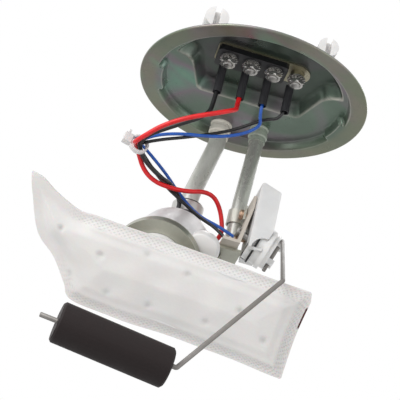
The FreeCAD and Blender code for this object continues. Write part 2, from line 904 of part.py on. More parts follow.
def make_rotor():
    low = s.inlet_depth - s.impeller_thickness - s.impeller_gap
    shaft = turned("ArmatureShaft", [(0, low), (s.shaft_radius, low), (s.shaft_radius, low + s.shaft_length),
                                     (0, low + s.shaft_length)])
    keep(shaft, "armature_shaft", pump_frame)
    bore = s.shaft_radius + s.shaft_gap
    core = turned("Armature", tube_points(bore, s.core_radius, s.core_start, s.core_start + s.core_length))
    slot = sketch_on(core, "core_slot", "XY_Plane", s.core_start + s.core_length)
    rectangle(slot, s.core_radius - s.core_slot_depth, -s.core_slot_width / 2,
              s.core_radius + 1, s.core_slot_width / 2)
    groove = cut(core, slot, s.core_length + 1)
    doc.recompute()
    repeat_round(core, groove, s.core_slots)
    keep(core, "armature", pump_frame)
    end = s.core_start + s.core_length
    windings = turned("Windings", [
        (bore, end + s.fit_gap), (s.winding_radius, end + s.fit_gap),
        (s.winding_radius - 1, end + s.winding_bulge), (bore, end + s.winding_bulge),
    ])
    keep(windings, "armature_windings", pump_frame)
    bars = turned("Commutator", tube_points(bore, s.commutator_radius, s.commutator_start,
                                            s.commutator_start + s.commutator_length))
    keep(bars, "commutator", pump_frame)


def make_magnets():
    outer = can_inside
    low = s.core_start - 1
    body = turned("Magnets", tube_points(s.core_radius + s.magnet_gap + s.fit_gap, outer,
                                         low, low + s.core_length + 2))
    gap = sketch_on(body, "magnet_gap", "XZ_Plane")
    rectangle(gap, -s.magnet_gap_width / 2, low - 1, s.magnet_gap_width / 2, low + s.core_length + 3)
    cut(body, gap, s.can_radius * 3, middle=True)
    keep(body, "magnets", pump_frame)


def make_brushes():
    height = s.commutator_start + s.commutator_length / 2 - s.brush_height / 2
    start = s.commutator_radius + s.fit_gap
    body = new_body("Brushes")
    for side in (1, -1):
        face = sketch_on(body, "brush_%d" % (side + 1), "XY_Plane", height)
        rectangle(face, side * start, -s.brush_width / 2, side * (start + s.brush_length), s.brush_width / 2)
        pad(body, face, s.brush_height)
    keep(body, "brushes", pump_frame)
    coils = []
    for side in (1, -1):
        place = frame_of(Vector(side * (start + s.brush_length + s.fit_gap).value, 0,
                                (height + s.brush_height / 2).value), Vector(0, 1, 0), Vector(side, 0, 0))
        coils.append(coil("brush_coil_%d" % (side + 1), s.brush_spring_length, 3, s.brush_width / 2 - 0.2, place))
    pair = doc.addObject("Part::Compound", "BrushSprings")
    pair.Links = coils
    keep(pair, "brush_springs", pump_frame)


def make_outlet_cover():
    lip = s.can_radius - s.can_lip - s.fit_gap * 2
    top = s.can_length - s.can_wall - s.fit_gap
    bore = s.nipple_bore
    pocket = s.bearing_radius + s.fit_gap
    floor = s.outlet_start + s.bearing_length + s.fit_gap * 2
    tip = outlet_face + s.outlet_nipple
    seat = outlet_face - 1
    body = turned("OutletCover", [
        (pocket, s.outlet_start), (can_inside, s.outlet_start), (can_inside, top), (lip, top), (lip, outlet_face),
        (s.nipple_radius, outlet_face), (s.nipple_radius, tip - 3), (s.nipple_radius + 0.4, tip - 2),
        (s.nipple_radius, tip - 1), (s.nipple_radius - 0.5, tip), (bore, tip), (bore, seat),
        (bore - 1.2, seat), (bore - 1.2, floor), (pocket, floor),
    ])
    relief = sketch_on(body, "relief_bore", "XY_Plane", outlet_face)
    ring(relief, 0, s.relief_offset, s.relief_bore)
    cut(body, relief, outlet_face - relief_seat)
    vent = sketch_on(body, "relief_vent", "XY_Plane", s.outlet_start)
    ring(vent, 0, s.relief_offset, s.relief_bore - 1)
    cut(body, vent, s.can_length, reverse=True)
    slots = sketch_on(body, "terminal_slots", "XY_Plane", outlet_face)
    for side in (1, -1):
        middle = side * s.blade_offset
        rectangle(slots, middle - s.blade_thickness / 2 - s.fit_gap, -s.blade_width / 2 - s.fit_gap,
                  middle + s.blade_thickness / 2 + s.fit_gap, s.blade_width / 2 + s.fit_gap)
    cut(body, slots, s.outlet_rise)
    keep(body, "pump_outlet_cover", pump_frame)


def make_valves():
    seat = outlet_face - 1
    stem = s.nipple_bore - 1.4
    low = seat + s.fit_gap
    keep(turned("CheckValve", [
        (0, low - 2), (stem, low - 2), (stem, low), (s.valve_radius, low), (s.valve_radius, low + 1),
        (s.valve_radius * 0.5, low + s.valve_length), (0, low + s.valve_length),
    ]), "check_valve", pump_frame)
    ball = doc.addObject("Part::Sphere", "ReliefBall")
    bind(ball, "Radius", s.relief_ball)
    rest = relief_seat + s.relief_ball + s.fit_gap
    keep(ball, "relief_ball", pump_frame.multiply(
        FreeCAD.Placement(Vector(0, s.relief_offset.value, rest.value), FreeCAD.Rotation())))
    start = low + 1 + s.fit_gap
    ball_top = relief_seat + s.relief_ball * 2 + s.fit_gap * 2
    springs = doc.addObject("Part::Compound", "ValveSprings")
    springs.Links = [
        coil("check_coil", s.outlet_nipple * 0.55, 4, s.nipple_bore - 0.25, lifted(0, start)),
        coil("relief_coil", 3.9, 3, s.relief_bore - 0.3, lifted(s.relief_offset, ball_top)),
    ]
    keep(springs, "valve_springs", pump_frame)


def coil(name, length, turns, radius, place):
    """Open coil that starts at its place and runs along its Z axis."""
    wire = value_of(s.spring_wire)
    mean = value_of(radius) - wire
    rise = value_of(length) - wire * 2
    helix = Part.makeHelix(rise / turns, rise, mean)
    section = Part.Wire([Part.Circle(Vector(mean, 0, 0), Vector(0, 1, 0), wire).toShape()])
    spring = doc.addObject("Part::Feature", name)
    spring.Shape = helix.makePipeShell([section], True, True)
    spring.Placement = place.multiply(FreeCAD.Placement(Vector(0, 0, wire), FreeCAD.Rotation()))
    return spring


def lifted(y, z):
    """Place in the pump's own frame, off its axis and up along it."""
    return FreeCAD.Placement(Vector(0, value_of(y), value_of(z)), FreeCAD.Rotation())


def make_blades():
    body = new_body("PumpTerminals")
    low = outlet_face - s.outlet_rise + s.fit_gap
    for side in (1, -1):
        middle = side * s.blade_offset
        face = sketch_on(body, "blade_%d" % (side + 1), "XY_Plane", low)
        rectangle(face, middle - s.blade_thickness / 2, -s.blade_width / 2,
                  middle + s.blade_thickness / 2, s.blade_width / 2)
        pad(body, face, s.blade_length)
    keep(body, "pump_terminals", pump_frame)


# Hose between the pump's outlet and the supply tube

def make_hose():
    knee = pump_point(0, 0, hose_knee.value)
    nipple = (outlet_face + s.outlet_nipple).value
    inner = max(value_of(s.supply_radius), value_of(s.nipple_radius)) + 0.5
    points = [Vector(knee.x, knee.y, knee.z + 19.0), knee, pump_point(0, 0, nipple - 9.0)]
    far = [points[0] + Vector(0, 0, 1), knee, pump_point(0, 0, nipple - 10.0)]
    solid = swept("hose_solid", points, 9.0, inner + 2.3)
    keep(hollow("OutletHose", solid, swept("hose_bore", far, 9.0, inner)), "outlet_hose")
    return knee, inner + 2.3, nipple


def make_clamps(knee, hose_radius, nipple):
    upper = turned("UpperClamp", tube_points(hose_radius + 0.05, hose_radius + 0.9, 0, 6.0))
    upper.Placement = FreeCAD.Placement(Vector(knee.x, knee.y, knee.z + 12.0), FreeCAD.Rotation())
    lower = turned("LowerClamp", tube_points(hose_radius + 0.05, hose_radius + 0.9, nipple - 8.0, nipple - 2.0))
    lower.Placement = pump_frame
    clamps = doc.addObject("Part::Compound", "HoseClamps")
    clamps.Links = [upper, lower]
    keep(clamps, "hose_clamps")


# Bracket and isolator

def make_bracket():
    cup = turned("BracketCup", [
        (s.cup_hole, -s.cup_sheet - 0.2), (s.cup_radius, -s.cup_sheet - 0.2), (s.cup_radius + 0.7, s.cup_rim),
        (s.cup_radius - s.cup_sheet * 0.4, s.cup_rim), (s.cup_radius - s.cup_sheet * 0.8, -0.2), (s.cup_hole, -0.2),
    ])
    cup.Placement = pump_frame
    strap_top = pump_frame.inverse().multVec(foot_centre())
    strap = block("bracket_strap", s.strap_inside, s.strap_high, -s.cup_sheet - 0.2,
                  s.strap_inside + s.cup_sheet, s.strap_low, Size("%g" % (strap_top.z - 1), strap_top.z - 1))
    tab = block("bracket_tab", s.cup_hole + 1, s.strap_high, -s.cup_sheet - 0.2,
                s.strap_inside + s.cup_sheet, s.strap_low, Size("-0.2", -0.2))
    for piece in (strap, tab):
        place_in_pump(piece)
    foot = foot_plate()
    keep(joined("PumpBracket", [cup, strap, tab, foot]), "pump_bracket")


def place_in_pump(piece):
    """Moves a box that was set out in the pump's own frame to its place on the pump."""
    doc.recompute()
    local = piece.Placement
    for axis in "xyz":
        piece.setExpression("Placement.Base." + axis, None)
    piece.Placement = pump_frame.multiply(local)


def foot_centre():
    return Vector(s.return_foot_x.value, s.return_foot_y.value, -(s.return_foot_z + s.foot_sheet).value)


def foot_plate():
    return block("bracket_foot", s.return_foot_x - 10.1, s.return_foot_y - 14.5, -(s.return_foot_z + s.foot_sheet),
                 s.return_foot_x + 4.2, s.return_foot_y + 6, -s.return_foot_z)


def make_isolator():
    """Nylon block moulded to the can on its upper right side."""
    body = new_body("Isolator")
    face = sketch_on(body, "isolator_outline", "XY_Plane", s.cup_rim + 0.6)
    rectangle(face, s.can_radius - 6, -16.5, s.can_radius + 8, -4)
    solid = pad(body, face, 22.0)
    round_edges(body, solid, lambda edge: is_upright(edge) and edge.Vertexes[0].Point.x > 20, 5.0)
    hole = sketch_on(body, "isolator_seat", "XY_Plane")
    ring(hole, 0, 0, s.can_radius + 0.1)
    cut(body, hole, 40.0, reverse=True)
    keep(body, "pump_isolator", pump_frame)


# Strainer

def sock_frame(height):
    local = FreeCAD.Placement(Vector(0, 0, height), FreeCAD.Rotation(Vector(0, 0, 1), value_of(s.sock_turn)))
    return pump_frame.multiply(local)


SOCK_LEFT_TOP = (-60.0, -24.0)
SOCK_RIGHT_TOP = (71.0, -14.5)
SOCK_RIGHT_LOW = (71.0, 25.0)
SOCK_LEFT_LOW = (-33.0, 25.0)


def sock_outline(sketch, inset):
    outline(sketch, [
        (SOCK_LEFT_LOW[0] + inset, SOCK_LEFT_LOW[1] - inset), (-45.0 + inset, 7.0),
        (SOCK_LEFT_TOP[0] + inset, SOCK_LEFT_TOP[1] + inset), (-52.0 + inset, SOCK_LEFT_TOP[1] + inset),
        (-30.0, -14.5 + inset), (SOCK_RIGHT_TOP[0] - inset, SOCK_RIGHT_TOP[1] + inset),
        (SOCK_RIGHT_LOW[0] - inset, SOCK_RIGHT_LOW[1] - inset),
    ])


def make_strainer():
    low = -s.neck_length
    collar = turned("StrainerCollar", [
        (s.nipple_radius + 0.1, low), (s.collar_radius, low), (s.collar_radius, 0.0 - s.fit_gap),
        (s.collar_bore, 0.0 - s.fit_gap), (s.collar_bore, low + 1.2), (s.neck_radius, low + 1.2),
        (s.neck_radius, -1.5), (s.nipple_radius + 0.1, -1.5),
    ])
    keep(collar, "strainer_collar", pump_frame)
    body = new_body("StrainerSock")
    face = sketch_on(body, "sock_outline", "XY_Plane")
    sock_outline(face, 0.0)
    bag = pad(body, face, s.sock_thickness)
    inner = sketch_on(body, "sock_inside", "XY_Plane", s.sock_film)
    sock_outline(inner, 2.0)
    cut(body, inner, s.sock_thickness - s.sock_film * 2, reverse=True)
    keep(body, "strainer_sock", sock_frame(-(s.neck_length + s.sock_thickness + s.fit_gap).value))


def make_push_ring():
    body = turned("PushRing", tube_points(s.nipple_radius + 0.05, s.neck_radius + 2.0, -1.3, -0.7))
    keep(body, "strainer_push_ring", pump_frame)


# Sender: the rotor is drawn with X along the tilted pivot axis, the case stands upright

sender_turn = FreeCAD.Rotation(Vector(0, 1, 0), value_of(s.sender_tilt))
sender_origin = Vector(value_of(s.pivot_x), value_of(s.pivot_y), -value_of(s.pivot_z))
sender_frame = FreeCAD.Placement(sender_origin, sender_turn)
lean = math.tan(math.radians(value_of(s.sender_tilt)))
drum_gap = 0.6
disc_start = s.drum_right + s.fit_gap * 4
rotor_face = disc_start + s.rotor_disc * 2
CLIP_SCREW = Vector(10.75, 26.6, -53.6)
SENDER_RIVET = Vector(10.6, 23.9, -68.6)


def sender_point(x, y, z):
    return sender_frame.multVec(Vector(x, y, z))


def housing_outline(sketch, inset):
    """Upright case with a sloping top; its lower right side lies against the rotor disc."""
    face = sender_point(s.drum_right.value, 0, 0)
    right = s.housing_right - inset
    low = -s.housing_low + inset
    slant_top = Size("%g" % (face.z + (right.value - face.x) / lean), face.z + (right.value - face.x) / lean)
    slant_low = Size("%g" % (face.x + (low.value - face.z) * lean), face.x + (low.value - face.z) * lean)
    outline(sketch, [
        (s.housing_left + inset, low), (slant_low - inset, low), (right, slant_top),
        (right, -s.housing_top - s.housing_top_drop - inset), (s.housing_left + inset, -s.housing_top - inset),
    ])


def make_housing():
    body = new_body("SenderHousing")
    face = sketch_on(body, "housing_outline", "XZ_Plane", -s.housing_front)
    housing_outline(face, 0.0)
    solid = pad(body, face, s.housing_back - s.housing_front - s.housing_wall, reverse=True)
    round_edges(body, solid, lambda edge: abs(edge.BoundBox.ZMax - edge.BoundBox.ZMin) < 1e-6
                and edge.BoundBox.XLength < 1e-6 and edge.BoundBox.ZMax > -50, 1.5)
    cavity = sketch_on(body, "housing_cavity", "XZ_Plane", -s.housing_front - s.housing_wall)
    housing_outline(cavity, s.housing_wall)
    cut(body, cavity, s.housing_back - s.housing_front)
    doc.recompute()
    drum = cylinder("drum_space", s.drum_radius + drum_gap, s.drum_left + s.drum_right + 3)
    drum.Placement = sender_frame.multiply(frame_of(Vector(-s.drum_left.value - drum_gap, 0, 0),
                                                    Vector(0, 1, 0), Vector(1, 0, 0)))
    pin = cylinder("pin_space", s.pivot_radius + s.fit_gap, 12.0)
    pin.Placement = sender_frame.multiply(frame_of(Vector(-14, 0, 0), Vector(0, 1, 0), Vector(1, 0, 0)))
    mouth = block("window_space", s.housing_left + s.housing_wall, s.housing_front - 1,
                  -s.housing_low - 6, s.housing_right + 2, s.housing_front + s.housing_wall + 1,
                  -s.pivot_z - 1)
    rounded = doc.addObject("Part::Fillet", "window_round")
    rounded.Base = mouth
    doc.recompute()
    corner = [number + 1 for number, edge in enumerate(mouth.Shape.Edges)
              if edge.BoundBox.ZLength < 1e-6 and edge.BoundBox.XLength < 1e-6
              and edge.BoundBox.ZMax > -s.pivot_z.value - 1.1 and edge.BoundBox.XMax < 20]
    rounded.Edges = [(number, 7.0, 7.0) for number in corner]
    rivet = cylinder("rivet_space", 1.45, 8.0)
    rivet.Placement = frame_of(Vector(11, SENDER_RIVET.y, SENDER_RIVET.z), Vector(0, 1, 0), Vector(1, 0, 0))
    space = joined("housing_spaces", [drum, pin, rivet, rounded])
    space.Refine = False
    keep(hollow("HousingCase", body, space), "sender_housing")


def make_cover():
    body = new_body("SenderCover")
    face = sketch_on(body, "cover_outline", "XZ_Plane", -s.housing_back + s.housing_wall - s.fit_gap)
    housing_outline(face, 0.0)
    pad(body, face, s.housing_wall - s.fit_gap, reverse=True)
    keep(body, "sender_cover")


def make_card():
    left = s.drum_left + s.card_thickness * 2
    body = new_body("ResistorCard")
    face = sketch_on(body, "card_outline", "YZ_Plane", -left)
    rectangle(face, -s.card_half, 5.0, s.card_half, s.card_reach)
    pad(body, face, s.card_thickness)
    tracks = sketch_on(body, "card_tracks", "YZ_Plane", -left + s.card_thickness)
    outline(tracks, [(-7.6, 12.2), (7.6, 12.2), (8.4, 14.2), (-8.4, 14.2)], {0: Size("-15", -15.0), 2: Size("17", 17.0)})
    pad(body, tracks, 0.06)
    keep(body, "resistor_card", sender_frame)


def make_sender_rotor():
    body = new_body("SenderRotor")
    drum = sketch_on(body, "rotor_drum", "YZ_Plane", -s.drum_left)
    ring(drum, 0, 0, s.drum_radius)
    pad(body, drum, s.drum_left + disc_start)
    disc = sketch_on(body, "rotor_disc", "YZ_Plane", disc_start)
    ring(disc, 0, 0, s.rotor_radius)
    pad(body, disc, s.rotor_disc)
    step = sketch_on(body, "rotor_step", "YZ_Plane", disc_start + s.rotor_disc)
    ring(step, 0, 0, s.rotor_step)
    pad(body, step, s.rotor_disc)
    clips = sketch_on(body, "rotor_clips", "YZ_Plane", rotor_face - 0.1)
    for side in (1, -1):
        middle = side * s.clip_reach
        rectangle(clips, -s.clip_width / 2, middle - 1.5, s.clip_width / 2, middle + 1.5)
    pad(body, clips, s.clip_height)
    groove = sketch_on(body, "clip_groove", "YZ_Plane", rotor_face + 0.05)
    rectangle(groove, -s.wire_radius - s.fit_gap, -s.rotor_radius, s.wire_radius + s.fit_gap, s.rotor_radius + 1)
    cut(body, groove, s.wire_radius * 2 + 0.1, reverse=True)
    mouths = sketch_on(body, "clip_mouths", "YZ_Plane", rotor_face + s.clip_height)
    rectangle(mouths, -s.wire_radius * 0.7, -s.rotor_radius, s.wire_radius * 0.7, s.rotor_radius + 1)
    cut(body, mouths, s.clip_height - s.wire_radius)
    bore = sketch_on(body, "rotor_bore", "YZ_Plane", -s.drum_left)
    ring(bore, 0, 0, s.pivot_radius + s.fit_gap)
    cut(body, bore, s.drum_left + rotor_face, reverse=True)
    keep(body, "sender_rotor", sender_frame)


def make_pivot():
    body = new_body("SenderPivot")
    pin = sketch_on(body, "pivot_pin", "YZ_Plane", Size("-12.2", -12.2))
    ring(pin, 0, 0, s.pivot_radius)
    pad(body, pin, rotor_face + 12.1)
    head = sketch_on(body, "pivot_head", "YZ_Plane", Size("-13", -13.0))
    ring(head, 0, 0, s.pivot_radius + 1.4)
    pad(body, head, 0.9)
    keep(body, "sender_pivot", sender_frame)


def make_wiper():
    """Spring contact on the drum's left face; it points to the card's front end at rest."""
    body = new_body("SenderWiper")
    left = -s.drum_left - s.fit_gap - s.wiper_sheet
    plate = sketch_on(body, "wiper_plate", "YZ_Plane", left)
    half = math.radians(32.5)
    across = Vector(math.cos(half), math.sin(half), 0)
    along = Vector(-math.sin(half), math.cos(half), 0)
    corners = [(-1.6, 3.0), (1.6, 3.0), (1.0, s.wiper_reach.value), (-1.0, s.wiper_reach.value)]
    points = [across * x + along * y for x, y in corners]
    outline(plate, [(point.x, point.y) for point in points])
    pad(body, plate, s.wiper_sheet)
    dot = sketch_on(body, "wiper_contact", "YZ_Plane", left)
    tip = along * 13.4
    ring(dot, tip.x, tip.y, 0.7)
    pad(body, dot, 0.35, reverse=True)
    keep(body, "sender_wiper", sender_frame)


def make_sender_bracket():
    foot_top = -s.return_foot_z + s.fit_gap
    sheet_top = foot_top + s.bracket_sheet
    body = new_body("SenderBracket")
    face = sketch_on(body, "bracket_outline", "XZ_Plane", Size("-12", -12.0))
    outline(face, [
        (3.5, foot_top), (12.6, foot_top), (15.9, -55.0), (15.9, -48.5), (15.9 - s.bracket_sheet, -48.5),
        (15.9 - s.bracket_sheet, -55.0), (12.4 - s.bracket_sheet, sheet_top), (3.5, sheet_top),
    ])
    pad(body, face, 14.0, reverse=True)
    arm = sketch_on(body, "bracket_arm", "XZ_Plane", Size("-25.9", -25.9))
    rectangle(arm, 15.9 - s.bracket_sheet, -59.0, 15.9, -49.0)
    pad(body, arm, 5.0, reverse=True)
    holes = cylinder("bracket_pin_space", s.pivot_radius + s.fit_gap, 14.0)
    holes.Placement = sender_frame.multiply(frame_of(Vector(-15, 0, 0), Vector(0, 1, 0), Vector(1, 0, 0)))
    screw = cylinder("bracket_screw_space", 1.55, 6.0)
    screw.Placement = frame_of(Vector(12, CLIP_SCREW.y, CLIP_SCREW.z), Vector(0, 1, 0), Vector(1, 0, 0))
    rivet = cylinder("bracket_rivet_space", 1.7, 8.0)
    rivet.Placement = frame_of(Vector(10, SENDER_RIVET.y, SENDER_RIVET.z), Vector(0, 1, 0), Vector(1, 0, 0))
    space = joined("bracket_spaces", [holes, screw, rivet])
    keep(hollow("SenderBracketPlate", body, space), "sender_bracket")


def make_tube_clip():
    body = new_body("TubeClip")
    low = Size("-57", -57.0)
    band = sketch_on(body, "clip_band", "XY_Plane", low)
    ring(band, s.return_mid_x, s.return_mid_y, s.return_radius + 1.0)
    pad(body, band, 8.0)
    ear = sketch_on(body, "clip_ear", "XY_Plane", low)
    rectangle(ear, 12.75, 24.0, 13.95, 32.4)
    pad(body, ear, 8.0)
    hole = sketch_on(body, "clip_tube_space", "XY_Plane", low - 1)
    ring(hole, s.return_mid_x, s.return_mid_y, s.return_radius + 0.3)
    cut(body, hole, 10.0, reverse=True)
    screw = sketch_on(body, "clip_screw_space", "YZ_Plane", Size("13.3", 13.3))
    ring(screw, CLIP_SCREW.y, CLIP_SCREW.z, 1.55)
    cut(body, screw, 10.0, middle=True)
    keep(body, "tube_clip")


def make_screw():
    body = turned("SenderScrew", [
        (0, 0), (2.0, 0), (2.6, 0.7), (2.6, 1.95), (1.5, 1.95), (1.5, 5.2), (0, 5.2),
    ])
    slot = sketch_on(body, "screw_slot", "XZ_Plane")
    rectangle(slot, -0.4, -1.0, 0.4, 0.9)
    cut(body, slot, 10.0, middle=True)
    keep(body, "sender_screw", frame_of(CLIP_SCREW, Vector(0, 1, 0), Vector(1, 0, 0)))


def make_sender_terminal():
    """Insulated rivet that takes the level signal through the bracket and the case wall."""
    body = turned("SenderTerminal", [
        (0, 0), (2.2, 0), (2.2, 0.8), (1.4, 0.8), (1.4, 6.0), (0, 6.0),
    ])
    keep(body, "sender_terminal", frame_of(SENDER_RIVET, Vector(0, 1, 0), Vector(1, 0, 0)))


ARM_ELBOW = Vector(22.1, -64.0, -123.2)
FLOAT_NEAR = Vector(-15.9, -74.3, -176.8)
FLOAT_FAR = Vector(-61.8, -80.0, -172.6)
float_way = (FLOAT_FAR - FLOAT_NEAR).normalize()


def make_arm():
    wire_x = (rotor_face + s.wire_radius + s.fit_gap).value
    reach = value_of(s.rotor_radius)
    points = [
        sender_point(wire_x, 0, -reach),
        sender_point(wire_x, 0, reach + 0.4),
        ARM_ELBOW,
        FLOAT_NEAR - float_way * 4,
        FLOAT_FAR + float_way * 7,
    ]
    keep(swept("FloatArm", points, [2.6, 3.5, 3.5], s.wire_radius), "float_arm")


def make_float():
    radius = s.float_radius
    length = s.float_length
    body = turned("Float", [
        (s.wire_radius + s.fit_gap * 2, 0), (radius - s.float_facet, 0), (radius, s.float_facet),
        (radius, length - s.float_facet), (radius - s.float_facet, length), (s.wire_radius + s.fit_gap * 2, length),
    ])
    keep(body, "float", frame_of(FLOAT_NEAR, Vector(0, 0, 1), float_way))


# Wires

THICK_GROUND = [
    (-19.4, -11.4, -4.0), (-19.6, -11.0, -15.5), (-20.6, -12.0, -25.1),
    (-34.9, -10.8, -35.1), (-50.3, -3.0, -43.1), (-47.3, 7.4, -47.5),
    (-34.2, 12.2, -53.9), (-27.7, 22.6, -50.0), (-18.8, 25.2, -59.3),
    (-26.6, 29.8, -70.2), (-27.9, 29.3, -78.0),
]
RED_POSITIVE = [
    (-7.4, -11.4, -4.0), (-7.8, -11.0, -15.5), (-2.9, -26.6, -27.7),
    (-37.9, -18.5, -37.3), (-52.3, -6.9, -48.5), (-51.6, 5.2, -42.1),
    (-41.4, 15.6, -54.9), (-22.1, 17.8, -55.3), (-6.6, 23.9, -47.0),
    (1.6, 27.7, -54.6), (6.1, 31.8, -70.4), (-6.3, 25.0, -78.0),
]
BLUE_SENDER = [
    (4.6, -11.4, -4.0), (4.4, -10.6, -14.5), (8.2, -1.0, -16.7),
    (-7.9, 4.4, -25.4), (-37.7, -1.7, -35.0), (-52.1, 0.1, -44.6),
    (-50.7, 13.3, -35.8), (-32.6, 18.2, -46.8), (-24.0, 26.2, -51.0),
    (-10.9, 26.0, -61.6), (3.1, 24.1, -65.5), (10.2, 23.9, -68.5),
]
THIN_GROUND = [
    (16.6, -11.4, -4.0), (16.4, -10.6, -14.0), (8.2, -4.8, -13.2),
    (-5.0, 5.4, -19.3), (-26.6, 5.0, -30.7), (-39.5, -0.4, -39.3),
    (-48.9, 1.4, -43.7), (-50.4, 13.3, -38.8), (-32.4, 20.2, -52.4),
    (-20.8, 21.5, -58.3), (-9.3, 24.0, -63.4), (1.6, 22.5, -67.7),
    (8.3, 20.5, -74.4),
]


def make_wire(label, route, diameter):
    points = [Vector(*spot) for spot in route]
    bends = []
    for before, corner, after in zip(points[:-2], points[1:-1], points[2:]):
        into = corner - before
        out = after - corner
        half_turn = into.getAngle(out) / 2
        bends.append(0.45 * min(into.Length, out.Length) / math.tan(half_turn))
    print("%s bend radii in diameters: %s" % (
        label, ", ".join("%.1f" % (bend / value_of(diameter) / 2) for bend in bends)))
    wire = doc.addObject("Part::Feature", label.title().replace("_", ""))
    path = rounded_path(points, bends)
    way = (points[1] - points[0]).normalize()
    section = Part.Wire([Part.Circle(points[0], way, value_of(diameter)).toShape()])
    wire.Shape = path.makePipeShell([section], True, False)
    print("%s length %.1f, volume ratio %.3f" % (
        label, path.Length, wire.Shape.Volume / (math.pi * value_of(diameter) ** 2 * path.Length)))
    keep(wire, label)


def make_tie():
    centre = Vector(-49.7, 2.4, -44.2)
    way = Vector(-0.21, 0.973, -0.092).normalize()
    body = turned("CableTie", tube_points(3.95, 5.0, -1.3, 1.3))
    head = sketch_on(body, "tie_head", "XY_Plane", Size("-2", -2.0))
    rectangle(head, 4.3, -2.4, 8.6, 2.4)
    pad(body, head, 4.0)
    tail = sketch_on(body, "tie_tail", "XY_Plane", Size("-1.2", -1.2))
    rectangle(tail, 6.0, 2.3, 7.2, 5.0)
    pad(body, tail, 2.4)
    keep(body, "cable_tie", frame_of(centre, Vector(-1, 0, 0.1), way))


def make_blade_sockets():
    """Push-on connectors on the pump's two blades, each with a wire barrel."""
    low = outlet_face + 1.5
    body = new_body("BladeSockets")
    for side in (1, -1):
        middle = side * s.blade_offset
        face = sketch_on(body, "socket_%d" % (side + 1), "XY_Plane", low)
        rectangle(face, middle - 1.7, -s.blade_width / 2 - 0.9, middle + 1.7, s.blade_width / 2 + 0.9)
        pad(body, face, 7.0)
        barrel = sketch_on(body, "barrel_%d" % (side + 1), "XY_Plane", low + 6.9)
        ring(barrel, middle, 0, 2.0)
        pad(body, barrel, 2.4)
        slot = sketch_on(body, "socket_slot_%d" % (side + 1), "XY_Plane", low)
        rectangle(slot, middle - s.blade_thickness / 2 - s.fit_gap, -s.blade_width / 2 - s.fit_gap,
                  middle + s.blade_thickness / 2 + s.fit_gap, s.blade_width / 2 + s.fit_gap)
        cut(body, slot, 3.2, reverse=True)
    keep(body, "blade_sockets", pump_frame)


def make_sock_frame():
    """Open frame with cross bars that keeps the two cloth sides apart."""
    body = new_body("StrainerFrame")
    low = s.sock_film + s.frame_gap
    height = s.sock_thickness - s.sock_film * 2 - s.frame_gap * 2
    face = sketch_on(body, "frame_outline", "XY_Plane", low)
    rectangle(face, -26.0, -10.0, 64.0, 20.0)
    pad(body, face, height)
    for number in range(5):
        start = -23.5 + number * 17.6
        window = sketch_on(body, "frame_window_%d" % number, "XY_Plane", low)
        rectangle(window, start, -7.8, start + 15.2, 17.8)
        cut(body, window, s.sock_thickness, reverse=True)
    keep(body, "strainer_frame", sock_frame(-(s.neck_length + s.sock_thickness + s.fit_gap).value))


def main():
    make_flange()
    make_backing_plate()
    make_insulator()
    make_ground_spacer()
    make_studs()
    make_lugs()
    make_sleeves()
    make_washers()
    make_nuts()
    make_shell()
    make_line("SupplyTube", "supply_tube", supply_points(), [20.0, 12.5, 22.0, 22.0], s.supply_radius, s.supply_bore)
    make_line("ReturnTube", "return_tube", return_points(), [20.0, 12.5, 60.0, 60.0], s.return_radius, s.return_bore)
    make_collar("SupplyCollar", "supply_tube_collar", -s.supply_x, s.supply_y, s.supply_radius)
    make_collar("ReturnCollar", "return_tube_collar", s.return_x, s.return_y, s.return_radius)
    make_line_cap("SupplyCap", "supply_line_cap", -s.supply_end_x, s.line_top_z, s.supply_radius)
    return_top = s.line_top_z + s.return_top_gain
    make_line_cap("ReturnCap", "return_line_cap", s.return_end_x, return_top, s.return_radius)
    make_pump_shell()
    make_inlet_cover()
    make_impeller()
    make_motor_plate()
    make_rotor()
    make_magnets()
    make_brushes()
    make_outlet_cover()
    make_valves()
    make_blades()
    make_clamps(*make_hose())
    make_bracket()
    make_isolator()
    make_strainer()
    make_push_ring()
    make_housing()
    make_cover()
    make_card()
    make_sender_rotor()
    make_pivot()
    make_wiper()
    make_sender_bracket()
    make_tube_clip()
    make_screw()
    make_sender_terminal()
    make_arm()
    make_float()
    make_wire("wire_pump_ground", THICK_GROUND, s.thick_wire)
    make_wire("wire_pump_positive", RED_POSITIVE, s.thick_wire)
    make_wire("wire_sender", BLUE_SENDER, s.thin_wire)
    make_wire("wire_sender_ground", THIN_GROUND, s.thin_wire)
    make_tie()
    make_blade_sockets()
    make_sock_frame()
    doc.recompute()
    for thing in doc.Objects:
        if "Invalid" in thing.State or "Error" in thing.State:
            raise ValueError("%s failed: %s" % (thing.Name, thing.State))
    os.makedirs("parts", exist_ok=True)
    for piece in PARTS:
        if piece.Shape.isNull() or not piece.Shape.isValid():
            raise ValueError("bad shape: " + piece.Label)
        piece.Shape.exportStep("parts/%s.step" % piece.Label)
        print("%-24s %d solids %10.1f mm3" % (piece.Label, len(piece.Shape.Solids), piece.Shape.Volume))


main()
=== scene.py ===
import math

import bpy
import numpy as np
from mathutils import Matrix, Vector


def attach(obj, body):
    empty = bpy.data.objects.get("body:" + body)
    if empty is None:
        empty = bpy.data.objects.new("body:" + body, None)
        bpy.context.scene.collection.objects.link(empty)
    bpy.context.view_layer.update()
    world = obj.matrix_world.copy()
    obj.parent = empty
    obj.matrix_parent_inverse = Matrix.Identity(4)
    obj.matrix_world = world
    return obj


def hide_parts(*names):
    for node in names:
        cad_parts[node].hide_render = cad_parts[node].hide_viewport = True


bl_info = {
    "name": "Fuel Pump Module",
    "version": (1, 0, 0),
    "blender": (4, 5, 0),
    "location": "View3D > Sidebar > Fuel Pump",
    "description": "Finishes, wires, strainer bag, lights and camera for an in-tank fuel pump module",
    "category": "Object",
}

